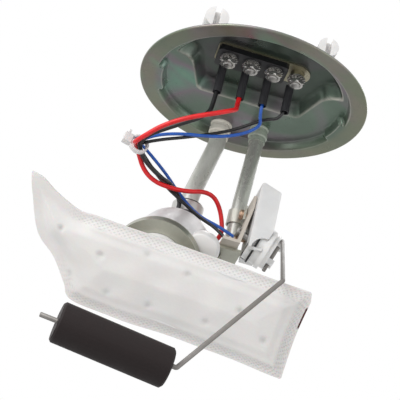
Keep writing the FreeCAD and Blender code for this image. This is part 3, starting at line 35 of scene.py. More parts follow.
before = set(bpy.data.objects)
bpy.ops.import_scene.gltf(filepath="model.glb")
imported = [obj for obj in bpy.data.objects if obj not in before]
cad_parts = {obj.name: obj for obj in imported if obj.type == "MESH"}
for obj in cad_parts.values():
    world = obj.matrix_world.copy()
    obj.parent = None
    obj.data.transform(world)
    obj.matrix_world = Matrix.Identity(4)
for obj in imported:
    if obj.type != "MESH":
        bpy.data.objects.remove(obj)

MM = 0.001


# Settings


class FUELPUMP_PG_metal(bpy.types.PropertyGroup):
    """Colours and polish of the metal pieces."""

    flange: bpy.props.FloatVectorProperty(
        name="Flange", description="Zinc plating of the flange", subtype="COLOR", size=3,
        default=(0.138, 0.196, 0.150), min=0.0, max=1.0)
    flange_tint: bpy.props.FloatVectorProperty(
        name="Flange tint", description="Violet bloom in the zinc plating", subtype="COLOR", size=3,
        default=(0.235, 0.178, 0.222), min=0.0, max=1.0)
    tube: bpy.props.FloatVectorProperty(
        name="Tube", description="Plated steel of the two lines", subtype="COLOR", size=3,
        default=(0.660, 0.665, 0.615), min=0.0, max=1.0)
    collar: bpy.props.FloatVectorProperty(
        name="Collar", description="Brazed collars below the flange", subtype="COLOR", size=3,
        default=(0.420, 0.470, 0.400), min=0.0, max=1.0)
    can: bpy.props.FloatVectorProperty(
        name="Pump case", description="Drawn steel case of the pump", subtype="COLOR", size=3,
        default=(0.640, 0.630, 0.640), min=0.0, max=1.0)
    bracket: bpy.props.FloatVectorProperty(
        name="Bracket", description="Olive plating of the brackets", subtype="COLOR", size=3,
        default=(0.360, 0.362, 0.305), min=0.0, max=1.0)
    bright: bpy.props.FloatVectorProperty(
        name="Bright steel", description="Nuts, washers, studs and the float wire", subtype="COLOR", size=3,
        default=(0.420, 0.410, 0.395), min=0.0, max=1.0)
    yellow: bpy.props.FloatVectorProperty(
        name="Yellow zinc", description="Earth plate and its collar", subtype="COLOR", size=3,
        default=(0.400, 0.370, 0.250), min=0.0, max=1.0)
    copper: bpy.props.FloatVectorProperty(
        name="Copper", description="Windings, bars, bearings and contact springs", subtype="COLOR", size=3,
        default=(0.560, 0.270, 0.150), min=0.0, max=1.0)
    polish: bpy.props.FloatProperty(
        name="Polish", description="Lowest roughness of the plated steel", default=0.24, min=0.05, max=0.9,
        subtype="FACTOR")


class FUELPUMP_PG_flange(bpy.types.PropertyGroup):
    """Pressed form of the flange."""

    wall_run: bpy.props.FloatProperty(
        name="Wall run", description="How far the pocket's wall takes to reach its ceiling", default=0.0048,
        min=0.001, max=0.01, unit="LENGTH", subtype="DISTANCE", precision=4)
    corner: bpy.props.FloatProperty(
        name="Corner", description="Rounding of the pocket's outline", default=0.0055, min=0.001, max=0.015,
        unit="LENGTH", subtype="DISTANCE", precision=4)
    notch: bpy.props.FloatProperty(
        name="Notch", description="Depth of the two locating notches in the step", default=0.0030, min=0.0,
        max=0.006, unit="LENGTH", subtype="DISTANCE", precision=4)
    rings: bpy.props.IntProperty(name="Rings", description="Rings from the centre to the rim", default=150,
                                 min=40, max=300)
    spokes: bpy.props.IntProperty(name="Spokes", description="Points round each ring", default=420, min=90,
                                  max=720)


class FUELPUMP_PG_plastic(bpy.types.PropertyGroup):
    """Colours of the moulded pieces."""

    white: bpy.props.FloatVectorProperty(
        name="White", description="Caps, isolator and strainer collar", subtype="COLOR", size=3,
        default=(0.800, 0.785, 0.775), min=0.0, max=1.0)
    nylon: bpy.props.FloatVectorProperty(
        name="Nylon", description="Natural nylon of the level sender", subtype="COLOR", size=3,
        default=(0.760, 0.755, 0.745), min=0.0, max=1.0)
    black: bpy.props.FloatVectorProperty(
        name="Black", description="Terminal block, connector shell and sleeves", subtype="COLOR", size=3,
        default=(0.012, 0.012, 0.014), min=0.0, max=1.0)
    amber: bpy.props.FloatVectorProperty(
        name="Amber", description="Filled resin of the impeller and its housing", subtype="COLOR", size=3,
        default=(0.480, 0.380, 0.230), min=0.0, max=1.0)
    float_body: bpy.props.FloatVectorProperty(
        name="Float", description="Closed-cell rubber of the float", subtype="COLOR", size=3,
        default=(0.0150, 0.0105, 0.0105), min=0.0, max=1.0)


class FUELPUMP_PG_wires(bpy.types.PropertyGroup):
    """Sizes and colours of the four wires."""

    thick: bpy.props.FloatProperty(
        name="Pump wire", description="Diameter of the two pump wires", default=0.0024, min=0.0005,
        max=0.01, unit="LENGTH", subtype="DISTANCE", precision=4)
    thin: bpy.props.FloatProperty(
        name="Sender wire", description="Diameter of the two sender wires", default=0.0017, min=0.0005,
        max=0.01, unit="LENGTH", subtype="DISTANCE", precision=4)
    red: bpy.props.FloatVectorProperty(
        name="Red", description="Pump feed wire", subtype="COLOR", size=3,
        default=(0.780, 0.008, 0.012), min=0.0, max=1.0)
    blue: bpy.props.FloatVectorProperty(
        name="Blue", description="Sender signal wire", subtype="COLOR", size=3,
        default=(0.018, 0.115, 0.520), min=0.0, max=1.0)
    black: bpy.props.FloatVectorProperty(
        name="Black", description="Earth wires", subtype="COLOR", size=3,
        default=(0.007, 0.007, 0.008), min=0.0, max=1.0)


class FUELPUMP_PG_bag(bpy.types.PropertyGroup):
    """Form and cloth of the strainer bag."""

    cloth: bpy.props.FloatVectorProperty(
        name="Cloth", description="Colour of the strainer cloth", subtype="COLOR", size=3,
        default=(0.830, 0.812, 0.795), min=0.0, max=1.0)
    hem: bpy.props.FloatProperty(
        name="Hem", description="Width of the welded hem", default=0.0042, min=0.001, max=0.01,
        unit="LENGTH", subtype="DISTANCE", precision=4)
    half_height: bpy.props.FloatProperty(
        name="Half height", description="Half of the bag's thickness over its frame", default=0.0062,
        min=0.001, max=0.01, unit="LENGTH", subtype="DISTANCE", precision=4)
    sag: bpy.props.FloatProperty(
        name="Sag", description="How far the cloth sinks between the frame's bars", default=0.0005, min=0.0,
        max=0.004, unit="LENGTH", subtype="DISTANCE", precision=4)
    fill: bpy.props.FloatProperty(
        name="Fill", description="How tight the frame inside holds the bag", default=0.6, min=0.0, max=1.0,
        subtype="FACTOR")
    steps_round: bpy.props.IntProperty(
        name="Steps round", description="Points along the bag's outline", default=300, min=60, max=800)
    steps_in: bpy.props.IntProperty(
        name="Steps in", description="Rings from the hem to the middle", default=34, min=8, max=80)


class FUELPUMP_PG_stage(bpy.types.PropertyGroup):
    """Camera, floor and lights."""

    lens: bpy.props.FloatProperty(
        name="Lens", description="Focal length in millimetres", default=97.2, min=20.0, max=300.0)
    floor_drop: bpy.props.FloatProperty(
        name="Floor", description="Height of the floor below the flange", default=0.72, min=0.2, max=2.0,
        unit="LENGTH", subtype="DISTANCE")
    floor_glow: bpy.props.FloatProperty(
        name="Floor glow", description="Light that the pale floor sends back up", default=0.08, min=0.0,
        max=2.0)
    key: bpy.props.FloatProperty(
        name="Key light", description="Power of the main soft light", default=5.2, min=0.0, max=500.0,
        unit="POWER")
    fill: bpy.props.FloatProperty(
        name="Fill light", description="Power of the fill light", default=1.2, min=0.0, max=500.0,
        unit="POWER")
    rim: bpy.props.FloatProperty(
        name="Rim light", description="Power of the light behind", default=3.4, min=0.0, max=500.0,
        unit="POWER")
    ambient: bpy.props.FloatProperty(
        name="Ambient", description="Brightness of the surroundings on matt surfaces", default=0.46,
        min=0.0, max=3.0)


# Materials


class Surface:
    """Node tree of one procedural finish, built round a Principled shader."""

    def __init__(self, name):
        self.material = bpy.data.materials.new(name)
        self.material.use_nodes = True
        self.nodes = self.material.node_tree.nodes
        self.links = self.material.node_tree.links
        self.shader = self.nodes["Principled BSDF"]
        self.place = self.nodes.new("ShaderNodeTexCoord")
        self.heights = []

    def set(self, **values):
        """Fixed values of the shader's sockets, named with underscores for spaces."""
        for key, value in values.items():
            self.shader.inputs[key.replace("_", " ")].default_value = value
        return self

    def noise(self, scale, detail=4.0, roughness=0.55, stretch=None, distortion=0.0):
        node = self.nodes.new("ShaderNodeTexNoise")
        node.inputs["Scale"].default_value = scale
        node.inputs["Detail"].default_value = detail
        node.inputs["Roughness"].default_value = roughness
        node.inputs["Distortion"].default_value = distortion
        source = self.place.outputs["Object"]
        if stretch:
            mapping = self.nodes.new("ShaderNodeMapping")
            mapping.inputs["Scale"].default_value = stretch
            self.links.new(source, mapping.inputs["Vector"])
            source = mapping.outputs["Vector"]
        self.links.new(source, node.inputs["Vector"])
        return node.outputs["Fac"]

    def cells(self, scale):
        node = self.nodes.new("ShaderNodeTexVoronoi")
        node.inputs["Scale"].default_value = scale
        self.links.new(self.place.outputs["Object"], node.inputs["Vector"])
        return node.outputs["Distance"]

    def attribute(self, name):
        """Value that the mesh stores at its points under the name."""
        node = self.nodes.new("ShaderNodeAttribute")
        node.attribute_name = name
        return node.outputs["Fac"]

    def ramp(self, source, *stops):
        """Colours along the source's range, each given with its position."""
        node = self.nodes.new("ShaderNodeValToRGB")
        elements = node.color_ramp.elements
        while len(elements) < len(stops):
            elements.new(0.5)
        for element, (position, colour) in zip(elements, stops):
            element.position = position
            element.color = (*colour, 1.0)
        self.links.new(source, node.inputs["Fac"])
        return node.outputs["Color"]

    def span(self, source, low, high, start=0.3, end=0.7):
        """Rescales the source, so that start gives low and end gives high."""
        node = self.nodes.new("ShaderNodeMapRange")
        node.inputs["From Min"].default_value = start
        node.inputs["From Max"].default_value = end
        node.inputs["To Min"].default_value = low
        node.inputs["To Max"].default_value = high
        self.links.new(source, node.inputs["Value"])
        return node.outputs["Result"]

    def math(self, operation, a, b=None):
        node = self.nodes.new("ShaderNodeMath")
        node.operation = operation
        for socket, value in zip(node.inputs, (a, b)):
            if value is None:
                continue
            if isinstance(value, (int, float)):
                socket.default_value = value
            else:
                self.links.new(value, socket)
        return node.outputs[0]

    def mix(self, factor, a, b):
        """Colour a where the factor is nothing and b where it is one."""
        node = self.nodes.new("ShaderNodeMix")
        node.data_type = "RGBA"
        for socket, value in zip((node.inputs[0], node.inputs[6], node.inputs[7]), (factor, a, b)):
            if isinstance(value, (int, float)):
                socket.default_value = value
            elif isinstance(value, tuple):
                socket.default_value = (*value, 1.0)
            else:
                self.links.new(value, socket)
        return node.outputs[2]

    def convex_edge_mask(self, low=0.53, high=0.62):
        """Mask of the convex edges, from the mesh's own curvature."""
        node = self.nodes.new("ShaderNodeNewGeometry")
        return self.span(node.outputs["Pointiness"], 0.0, 1.0, low, high)

    def colour(self, source):
        self.links.new(source, self.shader.inputs["Base Color"])
        return self

    def roughness(self, source):
        self.links.new(source, self.shader.inputs["Roughness"])
        return self

    def height(self, source, strength, distance):
        """Adds a layer of relief, with its depth in metres."""
        self.heights.append((source, strength, distance))
        return self

    def done(self):
        """Lays the relief on the shader, layer over layer, and gives the material."""
        normal = None
        for source, strength, distance in self.heights:
            bump = self.nodes.new("ShaderNodeBump")
            bump.inputs["Strength"].default_value = strength
            bump.inputs["Distance"].default_value = distance
            self.links.new(source, bump.inputs["Height"])
            if normal:
                self.links.new(normal, bump.inputs["Normal"])
            normal = bump.outputs["Normal"]
        if normal:
            self.links.new(normal, self.shader.inputs["Normal"])
        return self.material


def shade(colour, factor):
    """The colour made lighter or darker by a factor."""
    return tuple(min(1.0, max(0.0, value * factor)) for value in tuple(colour)[:3])


def plated_steel(name, colour, tint=None, low=0.24, high=0.42, stretch=None, edge_wear_and_highlight=0.35, speckle=0.25,
                 metallic=0.85, scale=1.0, glint=0.5):
    """Plated steel: cloudy colour, handling marks, fine grain, and convex edges painted brighter, partly as
    wear and partly as a painted highlight.
    """
    look = Surface(name)
    cloud = look.noise(38.0 * scale, 5.0, 0.6, stretch)
    second = tint if tint else shade(colour, 1.22)
    base = look.ramp(cloud, (0.30, shade(colour, 0.82)), (0.48, tuple(colour)), (0.66, second))
    grain = look.noise(900.0 * scale, 3.0, 0.7, stretch)
    base = look.mix(look.span(grain, 0.0, speckle), base, shade(colour, 0.55))
    # Convex edges painted brighter: partly wear, partly a painted highlight on the edges.
    edges = look.math("MULTIPLY", look.convex_edge_mask(), edge_wear_and_highlight)
    base = look.mix(edges, base, shade(colour, 1.8))
    smudge = look.noise(90.0 * scale, 6.0, 0.65, None, 0.6)
    look.colour(base).roughness(look.span(smudge, low, high))
    look.set(Metallic=metallic, Specular_IOR_Level=glint)
    if glint < 0.5:
        look.shader.inputs["Specular Tint"].default_value = (glint * 2, glint * 2, glint * 2, 1.0)
    look.height(grain, 0.18, 0.00012)
    look.height(look.noise(150.0 * scale, 4.0, 0.5, stretch), 0.16, 0.00035)
    return look.done()


def moulded(name, colour, low=0.38, high=0.56, grain=0.20, subsurface=0.0, dirt=0.18, scale=1.0):
    """Moulded plastic: flow marks, fine texture, slight soiling, and convex edges painted lighter, partly
    as rubbed wear and partly as a painted highlight.
    """
    look = Surface(name)
    flow = look.noise(45.0 * scale, 3.0, 0.5, (1.0, 1.0, 2.2), 0.8)
    base = look.ramp(flow, (0.32, shade(colour, 0.93)), (0.62, shade(colour, 1.05)))
    soil = look.noise(160.0 * scale, 6.0, 0.7)
    base = look.mix(look.span(soil, 0.0, dirt, 0.52, 0.78), base, shade(colour, 0.62))
    # Convex edges painted lighter: partly rubbed wear, partly a painted highlight.
    base = look.mix(look.math("MULTIPLY", look.convex_edge_mask(), 0.3), base, shade(colour, 1.25))
    texture = look.noise(1400.0 * scale, 2.0, 0.6)
    look.colour(base).roughness(look.span(look.noise(120.0 * scale, 4.0), low, high))
    look.set(Specular_IOR_Level=0.5)
    if subsurface:
        look.set(Subsurface_Weight=subsurface, Subsurface_Scale=0.004)
        look.shader.inputs["Subsurface Radius"].default_value = (1.0, 0.9, 0.8)
    look.height(texture, grain, 0.00008)
    look.height(look.noise(60.0 * scale, 2.0), 0.12, 0.0004)
    return look.done()


def give(material, *names):
    """Puts the material on the named pieces of the frame."""
    for name in names:
        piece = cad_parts.get(name)
        if piece is None:
            raise ValueError("no piece named " + name)
        piece.data.materials.clear()
        piece.data.materials.append(material)


# Meshes


def mesh_object(name, vertices, faces, material, sharp=None, layers=None):
    """New piece from points in millimetres; layers give named values to its points."""
    mesh = bpy.data.meshes.new(name)
    mesh.from_pydata([tuple(point) for point in np.asarray(vertices, float) * MM], [], faces)
    for layer_name, values in (layers or {}).items():
        layer = mesh.attributes.new(layer_name, "FLOAT", "POINT")
        layer.data.foreach_set("value", np.asarray(values, np.float32))
    mesh.shade_smooth()
    if sharp:
        mesh.set_sharp_from_angle(angle=math.radians(sharp))
    piece = bpy.data.objects.new(name, mesh)
    bpy.context.scene.collection.objects.link(piece)
    mesh.materials.append(material)
    return piece


def stacked_faces(around, rows, start=0, closed=False):
    """Quads between rows of points; a closed stack joins its last row to its first."""
    faces = []
    for row in range(rows if closed else rows - 1):
        after_row = (row + 1) % rows
        for number in range(around):
            after = (number + 1) % around
            faces.append((start + row * around + number, start + row * around + after,
                          start + after_row * around + after, start + after_row * around + number))
    return faces


def capped(around, rows):
    """Faces of a stack with its two ends closed."""
    faces = stacked_faces(around, rows)
    faces.append(tuple(reversed(range(around))))
    faces.append(tuple((rows - 1) * around + number for number in range(around)))
    return faces


def rounded_line(points, radii, steps=10):
    """The line through the points, with an arc at each inner corner."""
    points = [Vector(point) for point in points]
    line = [points[0]]
    for before, corner, after, radius in zip(points, points[1:], points[2:], radii):
        back, ahead = (before - corner).normalized(), (after - corner).normalized()
        half = back.angle(ahead) / 2
        centre = corner + (back + ahead).normalized() * (radius / math.sin(half))
        start = corner + back * (radius / math.tan(half)) - centre
        end = corner + ahead * (radius / math.tan(half)) - centre
        line += [centre + start.slerp(end, step / steps) for step in range(steps + 1)]
    return line + [points[-1]]


def bent_wire(name, points, radii, radius, material, around=20):
    """Round wire along a bent line, with slightly chamfered ends."""
    line = rounded_line(points, radii)
    first, last = (line[1] - line[0]).normalized(), (line[-1] - line[-2]).normalized()
    chamfer = radius * 0.25
    line = [line[0], line[0] + first * chamfer] + line[1:-1] + [line[-1] - last * chamfer, line[-1]]
    widths = [radius - chamfer] + [radius] * (len(line) - 2) + [radius - chamfer]
    side = first.orthogonal().normalized()
    rows = []
    for number, (spot, width) in enumerate(zip(line, widths)):
        way = (line[min(number + 1, len(line) - 1)] - line[max(number - 1, 0)]).normalized()
        side = (side - way * side.dot(way)).normalized()
        up = way.cross(side)
        rows.append([spot + (side * math.cos(turn) + up * math.sin(turn)) * width
                     for turn in np.linspace(0.0, 2 * math.pi, around, endpoint=False)])
    return mesh_object(name, np.concatenate(rows), capped(around, len(rows)), material, 50.0)


def smooth_outline(points, steps, sharp=()):
    """Even points along a closed smooth line that keeps its sharp corners, and the run to each point."""
    line = []
    total = len(points)
    for number in range(total):
        p0, p1, p2, p3 = (np.array(points[(number + shift) % total], float) for shift in (-1, 0, 1, 2))
        if number in sharp:
            p0 = p1
        if (number + 1) % total in sharp:
            p3 = p2
        for t in np.linspace(0.0, 1.0, 24, endpoint=False):
            line.append(0.5 * (2 * p1 + (p2 - p0) * t + (2 * p0 - 5 * p1 + 4 * p2 - p3) * t ** 2
                               + (3 * p1 - p0 - 3 * p2 + p3) * t ** 3))
    line = np.array(line + [line[0]])
    lengths = np.concatenate([[0.0], np.cumsum(np.linalg.norm(np.diff(line, axis=0), axis=1))])
    even = np.linspace(0.0, lengths[-1], steps, endpoint=False)
    return np.stack([np.interp(even, lengths, line[:, axis]) for axis in (0, 1)], axis=1), even


def smooth_step(value):
    """The value between nothing and one, eased so that it starts and ends level."""
    value = np.clip(value, 0.0, 1.0)
    return value * value * (3 - 2 * value)


def soft_least(a, b, reach):
    """The lower of two values, with the crease between them rounded."""
    share = np.clip(0.5 + 0.5 * (b - a) / reach, 0.0, 1.0)
    return b * (1 - share) + a * share - reach * share * (1 - share)


def soft_most(a, b, reach):
    """The higher of two values, with the crease between them rounded."""
    return -soft_least(-a, -b, reach)


# Pieces


class PieceOperator:
    """Shared parts of the operators: they stop the script when the work fails."""

    bl_options = {"REGISTER", "UNDO"}

    def execute(self, context):
        self.build(context.scene)
        return {"FINISHED"}


# The flange in millimetres: its radii, its sheet, the rounding of its rim, and heights over its seat
FLANGE_RADIUS = 60.0
STEP_RADIUS = 50.4
STEP_RUN = 2.4
CENTRE_RADIUS = 0.3
SHEET = 1.5
EDGE_WIDTH = 0.5
EDGE_ROUNDING = 0.35
PANEL_HEIGHT = 4.5
POCKET_HEIGHT = 11.2
# The pocket's round side, and its slanted sides from the wings to the back wall
POCKET_RADIUS = 47.0
WING_X, WING_Y = 36.5, -14.4
BACK_X, BACK_Y = 28.0, 14.0
# The two notches in the step: the middle of each and half of its width, in degrees
NOTCHES = ((11.0, 10.0), (171.0, 12.0))
NOTCH_FLANK = 2.2


def pocket_depth_in(x, y, corner):
    """Distance inside the terminal pocket's outline, in millimetres, with its corners rounded."""
    disc = POCKET_RADIUS - np.hypot(x, y)
    slope = (WING_X - BACK_X) / (BACK_Y - WING_Y)
    tilt = math.hypot(1.0, slope)
    right = (WING_X - x - (y - WING_Y) * slope) / tilt
    left = (WING_X + x - (y - WING_Y) * slope) / tilt
    block = soft_least(soft_least(right, left, 1.0), BACK_Y - y, corner * 0.6)
    return soft_least(disc, soft_most(WING_Y - y, block, corner * 1.5), corner * 0.35)


def notch_share(angle, middle, half_width):
    """How much of the notch is pressed in at each angle, all in degrees."""
    away = np.abs((angle - middle + 180.0) % 360.0 - 180.0)
    return smooth_step((half_width - away) / NOTCH_FLANK + 0.5)


class FUELPUMP_OT_flange(PieceOperator, bpy.types.Operator):
    """Presses the flange's plate with its rim, step, notches and terminal pocket"""

    bl_idname = "fuelpump.flange"
    bl_label = "Flange"

    def build(self, scene):
        form = scene.fuelpump_flange
        share = np.linspace(0.0, 1.0, form.rings) ** 0.85
        radius = CENTRE_RADIUS + (FLANGE_RADIUS - CENTRE_RADIUS) * share
        angle = np.linspace(0.0, 2 * math.pi, form.spokes, endpoint=False)
        rr, aa = np.meshgrid(radius, angle, indexing="ij")
        x, y = rr * np.cos(aa), rr * np.sin(aa)
        under, crease, pocket = self.underside(x, y, np.degrees(aa), form)
        edge = np.clip((rr - FLANGE_RADIUS + EDGE_WIDTH) / EDGE_WIDTH, 0.0, 1.0)
        rounding = EDGE_ROUNDING * edge ** 2
        low = np.stack([x, y, under + rounding], -1).reshape(-1, 3)
        high = np.stack([x, y, under + SHEET - rounding], -1)[::-1].reshape(-1, 3)
        layers = {"crease": np.concatenate([crease.ravel(), crease[::-1].ravel()]),
                  "pocket": np.concatenate([pocket.ravel(), 0.0 * pocket.ravel()]),
                  "rim": np.tile(smooth_step((rr.ravel() - STEP_RADIUS + 1.5) / 5.0), 2)}
        plate = mesh_object("pressed_flange", np.concatenate([low, high]),
                            capped(form.spokes, form.rings * 2), self.plating(scene), None, layers)
        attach(plate, "module")
        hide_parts("flange_plate")

    def underside(self, x, y, degrees, form):
        """Height of the underside, and how near each point is to a pressed edge and to the ceiling."""
        notches = sum(notch_share(degrees, *notch) for notch in NOTCHES)
        step = STEP_RADIUS - form.notch / MM * notches
        rise = (step - np.hypot(x, y)) / STEP_RUN + 0.5
        panel = smooth_step(rise)
        depth = pocket_depth_in(x, y, form.corner / MM)
        wall = np.sin(0.5 * math.pi * np.clip(depth / (form.wall_run / MM), 0.0, 1.0))
        pocket = wall * smooth_step((depth + 0.2) / 0.9)
        under = PANEL_HEIGHT * panel + (POCKET_HEIGHT - PANEL_HEIGHT) * pocket
        crease = np.exp(-((depth - 0.15) / 0.36) ** 2) + 0.7 * np.exp(-((rise - 0.02) / 0.08) ** 2)
        return under, np.clip(crease, 0.0, 1.0), pocket

    def plating(self, scene):
        """Zinc with blooms of violet and green, a golden rim, painted shade darkening the pocket, and
        painted highlights along the pressed edges.
        """
        metal = scene.fuelpump_metal
        look = Surface("zinc_flange")
        wide = look.noise(19.0, 2.0, 0.5, None, 0.9)
        base = look.ramp(
            wide, (0.28, shade(metal.flange, 0.85)), (0.44, tuple(metal.flange)),
            (0.56, tuple(metal.flange_tint)), (0.66, (0.175, 0.340, 0.255)), (0.80, (0.440, 0.400, 0.280)))
        cloud = look.noise(46.0, 5.0, 0.62)
        base = look.mix(look.span(cloud, 0.0, 0.35, 0.35, 0.75), base, shade(metal.flange, 1.45))
        stain = look.span(look.noise(22.0, 3.0, 0.6), 0.25, 0.85)
        gold = look.math("MULTIPLY", look.attribute("rim"), stain)
        base = look.mix(gold, base, (0.255, 0.250, 0.165))
        spot = look.noise(420.0, 5.0, 0.75)
        base = look.mix(look.span(spot, 0.0, 0.4, 0.55, 0.8), base, shade(metal.flange, 0.45))
        drawn = look.noise(70.0, 3.0, 0.5, (1.0, 1.0, 9.0))
        # Painted shade: the pocket's ceiling is darkened as shade in the recess.
        ceiling = look.math("MULTIPLY", look.attribute("pocket"), 0.72)
        base = look.mix(ceiling, base, shade(metal.flange, 0.20))
        # Painted highlight: the pressed edges at the pocket's outline and at the step are painted pale, in
        # patches.
        patchy = look.span(look.noise(30.0, 3.0), 0.15, 0.85)
        painted_edge_highlight = look.math("MULTIPLY", look.attribute("crease"), patchy)
        base = look.mix(painted_edge_highlight, base, (0.700, 0.680, 0.600))
        look.colour(base)
        look.roughness(look.span(look.noise(60.0, 6.0, 0.65, None, 0.5), metal.polish, metal.polish + 0.16))
        look.set(Metallic=0.72, Coat_Weight=0.30, Coat_Roughness=0.18)
        look.height(spot, 0.10, 0.00015)
        look.height(drawn, 0.10, 0.0006)
        look.height(look.noise(24.0, 2.0), 0.20, 0.0012)
        return look.done()


# The studs, their nuts and their toothed lock washers, in millimetres
STUDS_X = (-18.0, -6.0, 6.0, 18.0)
STUD_Y = -18.0
BORE_RADIUS = 2.45
BORE_FLARE = 0.3
BORE_CHAMFER = 0.25
NUT_FLATS = 7.4
NUT_HEIGHT = 2.6
NUT_LOW = 3.3
NUT_CHAMFER = 0.42
WASHER_LOW = 6.0
WASHER_SHEET = 0.5
WASHER_ROOT = 3.6
WASHER_TIP = 4.75
WASHER_TEETH = 15
WASHER_TWIST = 0.75


class FUELPUMP_OT_terminals(PieceOperator, bpy.types.Operator):
    """Finishes the terminal block, its hardware and the connector shell"""

    bl_idname = "fuelpump.terminals"
    bl_label = "Terminals"

    def build(self, scene):
        metal = scene.fuelpump_metal
        plastic = scene.fuelpump_plastic
        give(moulded("block_plastic", plastic.black, 0.30, 0.50, 0.3, dirt=0.05), "terminal_insulator")
        give(moulded("shell_plastic", plastic.black, 0.35, 0.55, 0.35, dirt=0.08, scale=0.8),
             "connector_shell")
        give(moulded("sleeve_rubber", shade(plastic.black, 1.6), 0.42, 0.62, 0.3, dirt=0.1, scale=1.3),
             "terminal_sleeves")
        give(plated_steel("stud_steel", metal.bright, low=0.22, high=0.42, scale=2.0), "terminal_studs")
        nut_look = plated_steel("nut_steel", shade(metal.bright, 1.25), low=0.12, high=0.30, edge_wear_and_highlight=0.6,
                                scale=2.5)
        self.copies("chamfered_nuts", self.nut_rows(), nut_look, 28.0, "stud_nuts")
        washer_look = plated_steel("washer_steel", shade(metal.bright, 0.9), low=0.14, high=0.34, scale=3.0)
        self.copies("toothed_washers", self.washer_rows(), washer_look, 20.0, "stud_lock_washers")
        give(plated_steel("lug_tin", (0.56, 0.55, 0.53), low=0.25, high=0.45, scale=2.0), "ring_terminals")
        give(plated_steel("yellow_zinc", metal.yellow, (0.43, 0.40, 0.31), 0.26, 0.44, edge_wear_and_highlight=0.1, scale=1.5),
             "ground_spacer", "terminal_backing_plate")

    def copies(self, name, rows, material, sharp, replaced):
        """One closed ring of rows at each of the four studs."""
        around = len(rows[0])
        single = np.concatenate(rows)
        vertices, faces = [], []
        for x in STUDS_X:
            faces += stacked_faces(around, len(rows), len(single) * len(vertices), True)
            vertices.append(single + np.array([x, STUD_Y, 0.0]))
        piece = mesh_object(name, np.concatenate(vertices), faces, material, sharp)
        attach(piece, "module")
        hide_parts(replaced)

    def nut_rows(self):
        """Hexagonal nut with bevelled corners and a countersunk bore."""
        angle = np.linspace(0.0, 2 * math.pi, 96, endpoint=False)
        half = NUT_FLATS / 2
        corner = half / np.cos((angle + math.pi / 6) % (math.pi / 3) - math.pi / 6)
        bevelled = np.minimum(corner, half * 1.01)
        bore = np.full_like(angle, BORE_RADIUS)
        mouth = bore + BORE_FLARE
        levels = [(bore, BORE_CHAMFER), (mouth, 0.0), (bevelled, 0.0), (corner, NUT_CHAMFER),
                  (corner, NUT_HEIGHT - NUT_CHAMFER), (bevelled, NUT_HEIGHT), (mouth, NUT_HEIGHT),
                  (bore, NUT_HEIGHT - BORE_CHAMFER)]
        return [self.ring(angle, radius, NUT_LOW + height) for radius, height in levels]

    def washer_rows(self):
        """Lock washer with teeth twisted out of its plane."""
        angle = np.linspace(0.0, 2 * math.pi, WASHER_TEETH * 8, endpoint=False)
        phase = (angle * WASHER_TEETH / (2 * math.pi)) % 1.0
        tooth = smooth_step((0.36 - np.abs(phase - 0.5)) / 0.1 + 0.5)
        twist = WASHER_TWIST * (phase - 0.5) * tooth
        outer = WASHER_ROOT + (WASHER_TIP - WASHER_ROOT) * tooth
        bore = np.full_like(angle, BORE_RADIUS)
        root = np.full_like(angle, WASHER_ROOT - 0.1)
        low, high = WASHER_LOW, WASHER_LOW + WASHER_SHEET
        levels = [(bore, low), (root, low), (outer, low + twist), (outer, high + twist), (root, high),
                  (bore, high)]
        return [self.ring(angle, radius, height) for radius, height in levels]

    def ring(self, angle, radius, height):
        """Points round an axis, with a radius and a height for each angle."""
        height = np.broadcast_to(height, angle.shape)
        return np.stack([radius * np.cos(angle), radius * np.sin(angle), height], 1)


class FUELPUMP_OT_lines(PieceOperator, bpy.types.Operator):
    """Finishes the two lines with their collars and caps"""

    bl_idname = "fuelpump.lines"
    bl_label = "Lines"

    def build(self, scene):
        metal = scene.fuelpump_metal
        plastic = scene.fuelpump_plastic
        give(plated_steel("supply_line_steel", metal.tube, (0.82, 0.82, 0.77), 0.22, 0.38, (2.2, 2.2, 0.5),
                          edge_wear_and_highlight=0.04, metallic=0.15), "supply_tube")
        give(plated_steel("return_line_steel", shade(metal.tube, 0.78), (0.46, 0.49, 0.43), 0.18, 0.34,
                          (2.2, 2.2, 0.4), edge_wear_and_highlight=0.04, metallic=0.4), "return_tube")
        give(plated_steel("collar_zinc", (0.88, 0.84, 0.74), (0.92, 0.89, 0.80), 0.34, 0.52, edge_wear_and_highlight=0.1,
                          speckle=0.08, metallic=0.05), "supply_tube_collar")
        give(plated_steel("return_collar_zinc", metal.collar, (0.52, 0.58, 0.49), 0.30, 0.48, edge_wear_and_highlight=0.1,
                          speckle=0.10, metallic=0.25), "return_tube_collar")
        give(moulded("cap_plastic", plastic.white, 0.40, 0.58, 0.15, 0.25, 0.08), "supply_line_cap",
             "return_line_cap")


# The pump's own frame: across, up and along its rising axis
CLIMB = math.radians(35.0)
TURN = math.radians(12.0)
PUMP_WAY = Vector((math.sin(TURN) * math.cos(CLIMB), math.cos(TURN) * math.cos(CLIMB), math.sin(CLIMB)))
PUMP_SIDE = Vector((math.cos(TURN), -math.sin(TURN), 0.0))
PUMP_UP = PUMP_SIDE.cross(PUMP_WAY)
PUMP_ORIGIN = Vector((-29.0, -28.0, -117.0))


def in_pump(points):
    """Row-frame places, in millimetres, of points given across, up and along the pump."""
    points = np.asarray(points, float)
    axes = np.array([PUMP_SIDE, PUMP_UP, PUMP_WAY])
    return np.array(PUMP_ORIGIN) + points @ axes


# The isolator's outline, across and up, and its places along the pump with the share of the outline there
ISOLATOR_OUTLINE = [
    (19.4, 3.2), (23.4, 3.4), (26.2, 5.2), (26.9, 8.4), (26.2, 12.0), (23.6, 15.0), (19.8, 16.6),
    (16.2, 16.3), (13.6, 13.6), (16.6, 9.7), (18.4, 6.0),
]
ISOLATOR_LEVELS = [
    (4.6, 0.90), (4.8, 0.95), (5.5, 1.0), (10.5, 1.0), (15.6, 1.0), (16.4, 0.95), (16.7, 0.88),
]
ISOLATOR_STEPS = 64


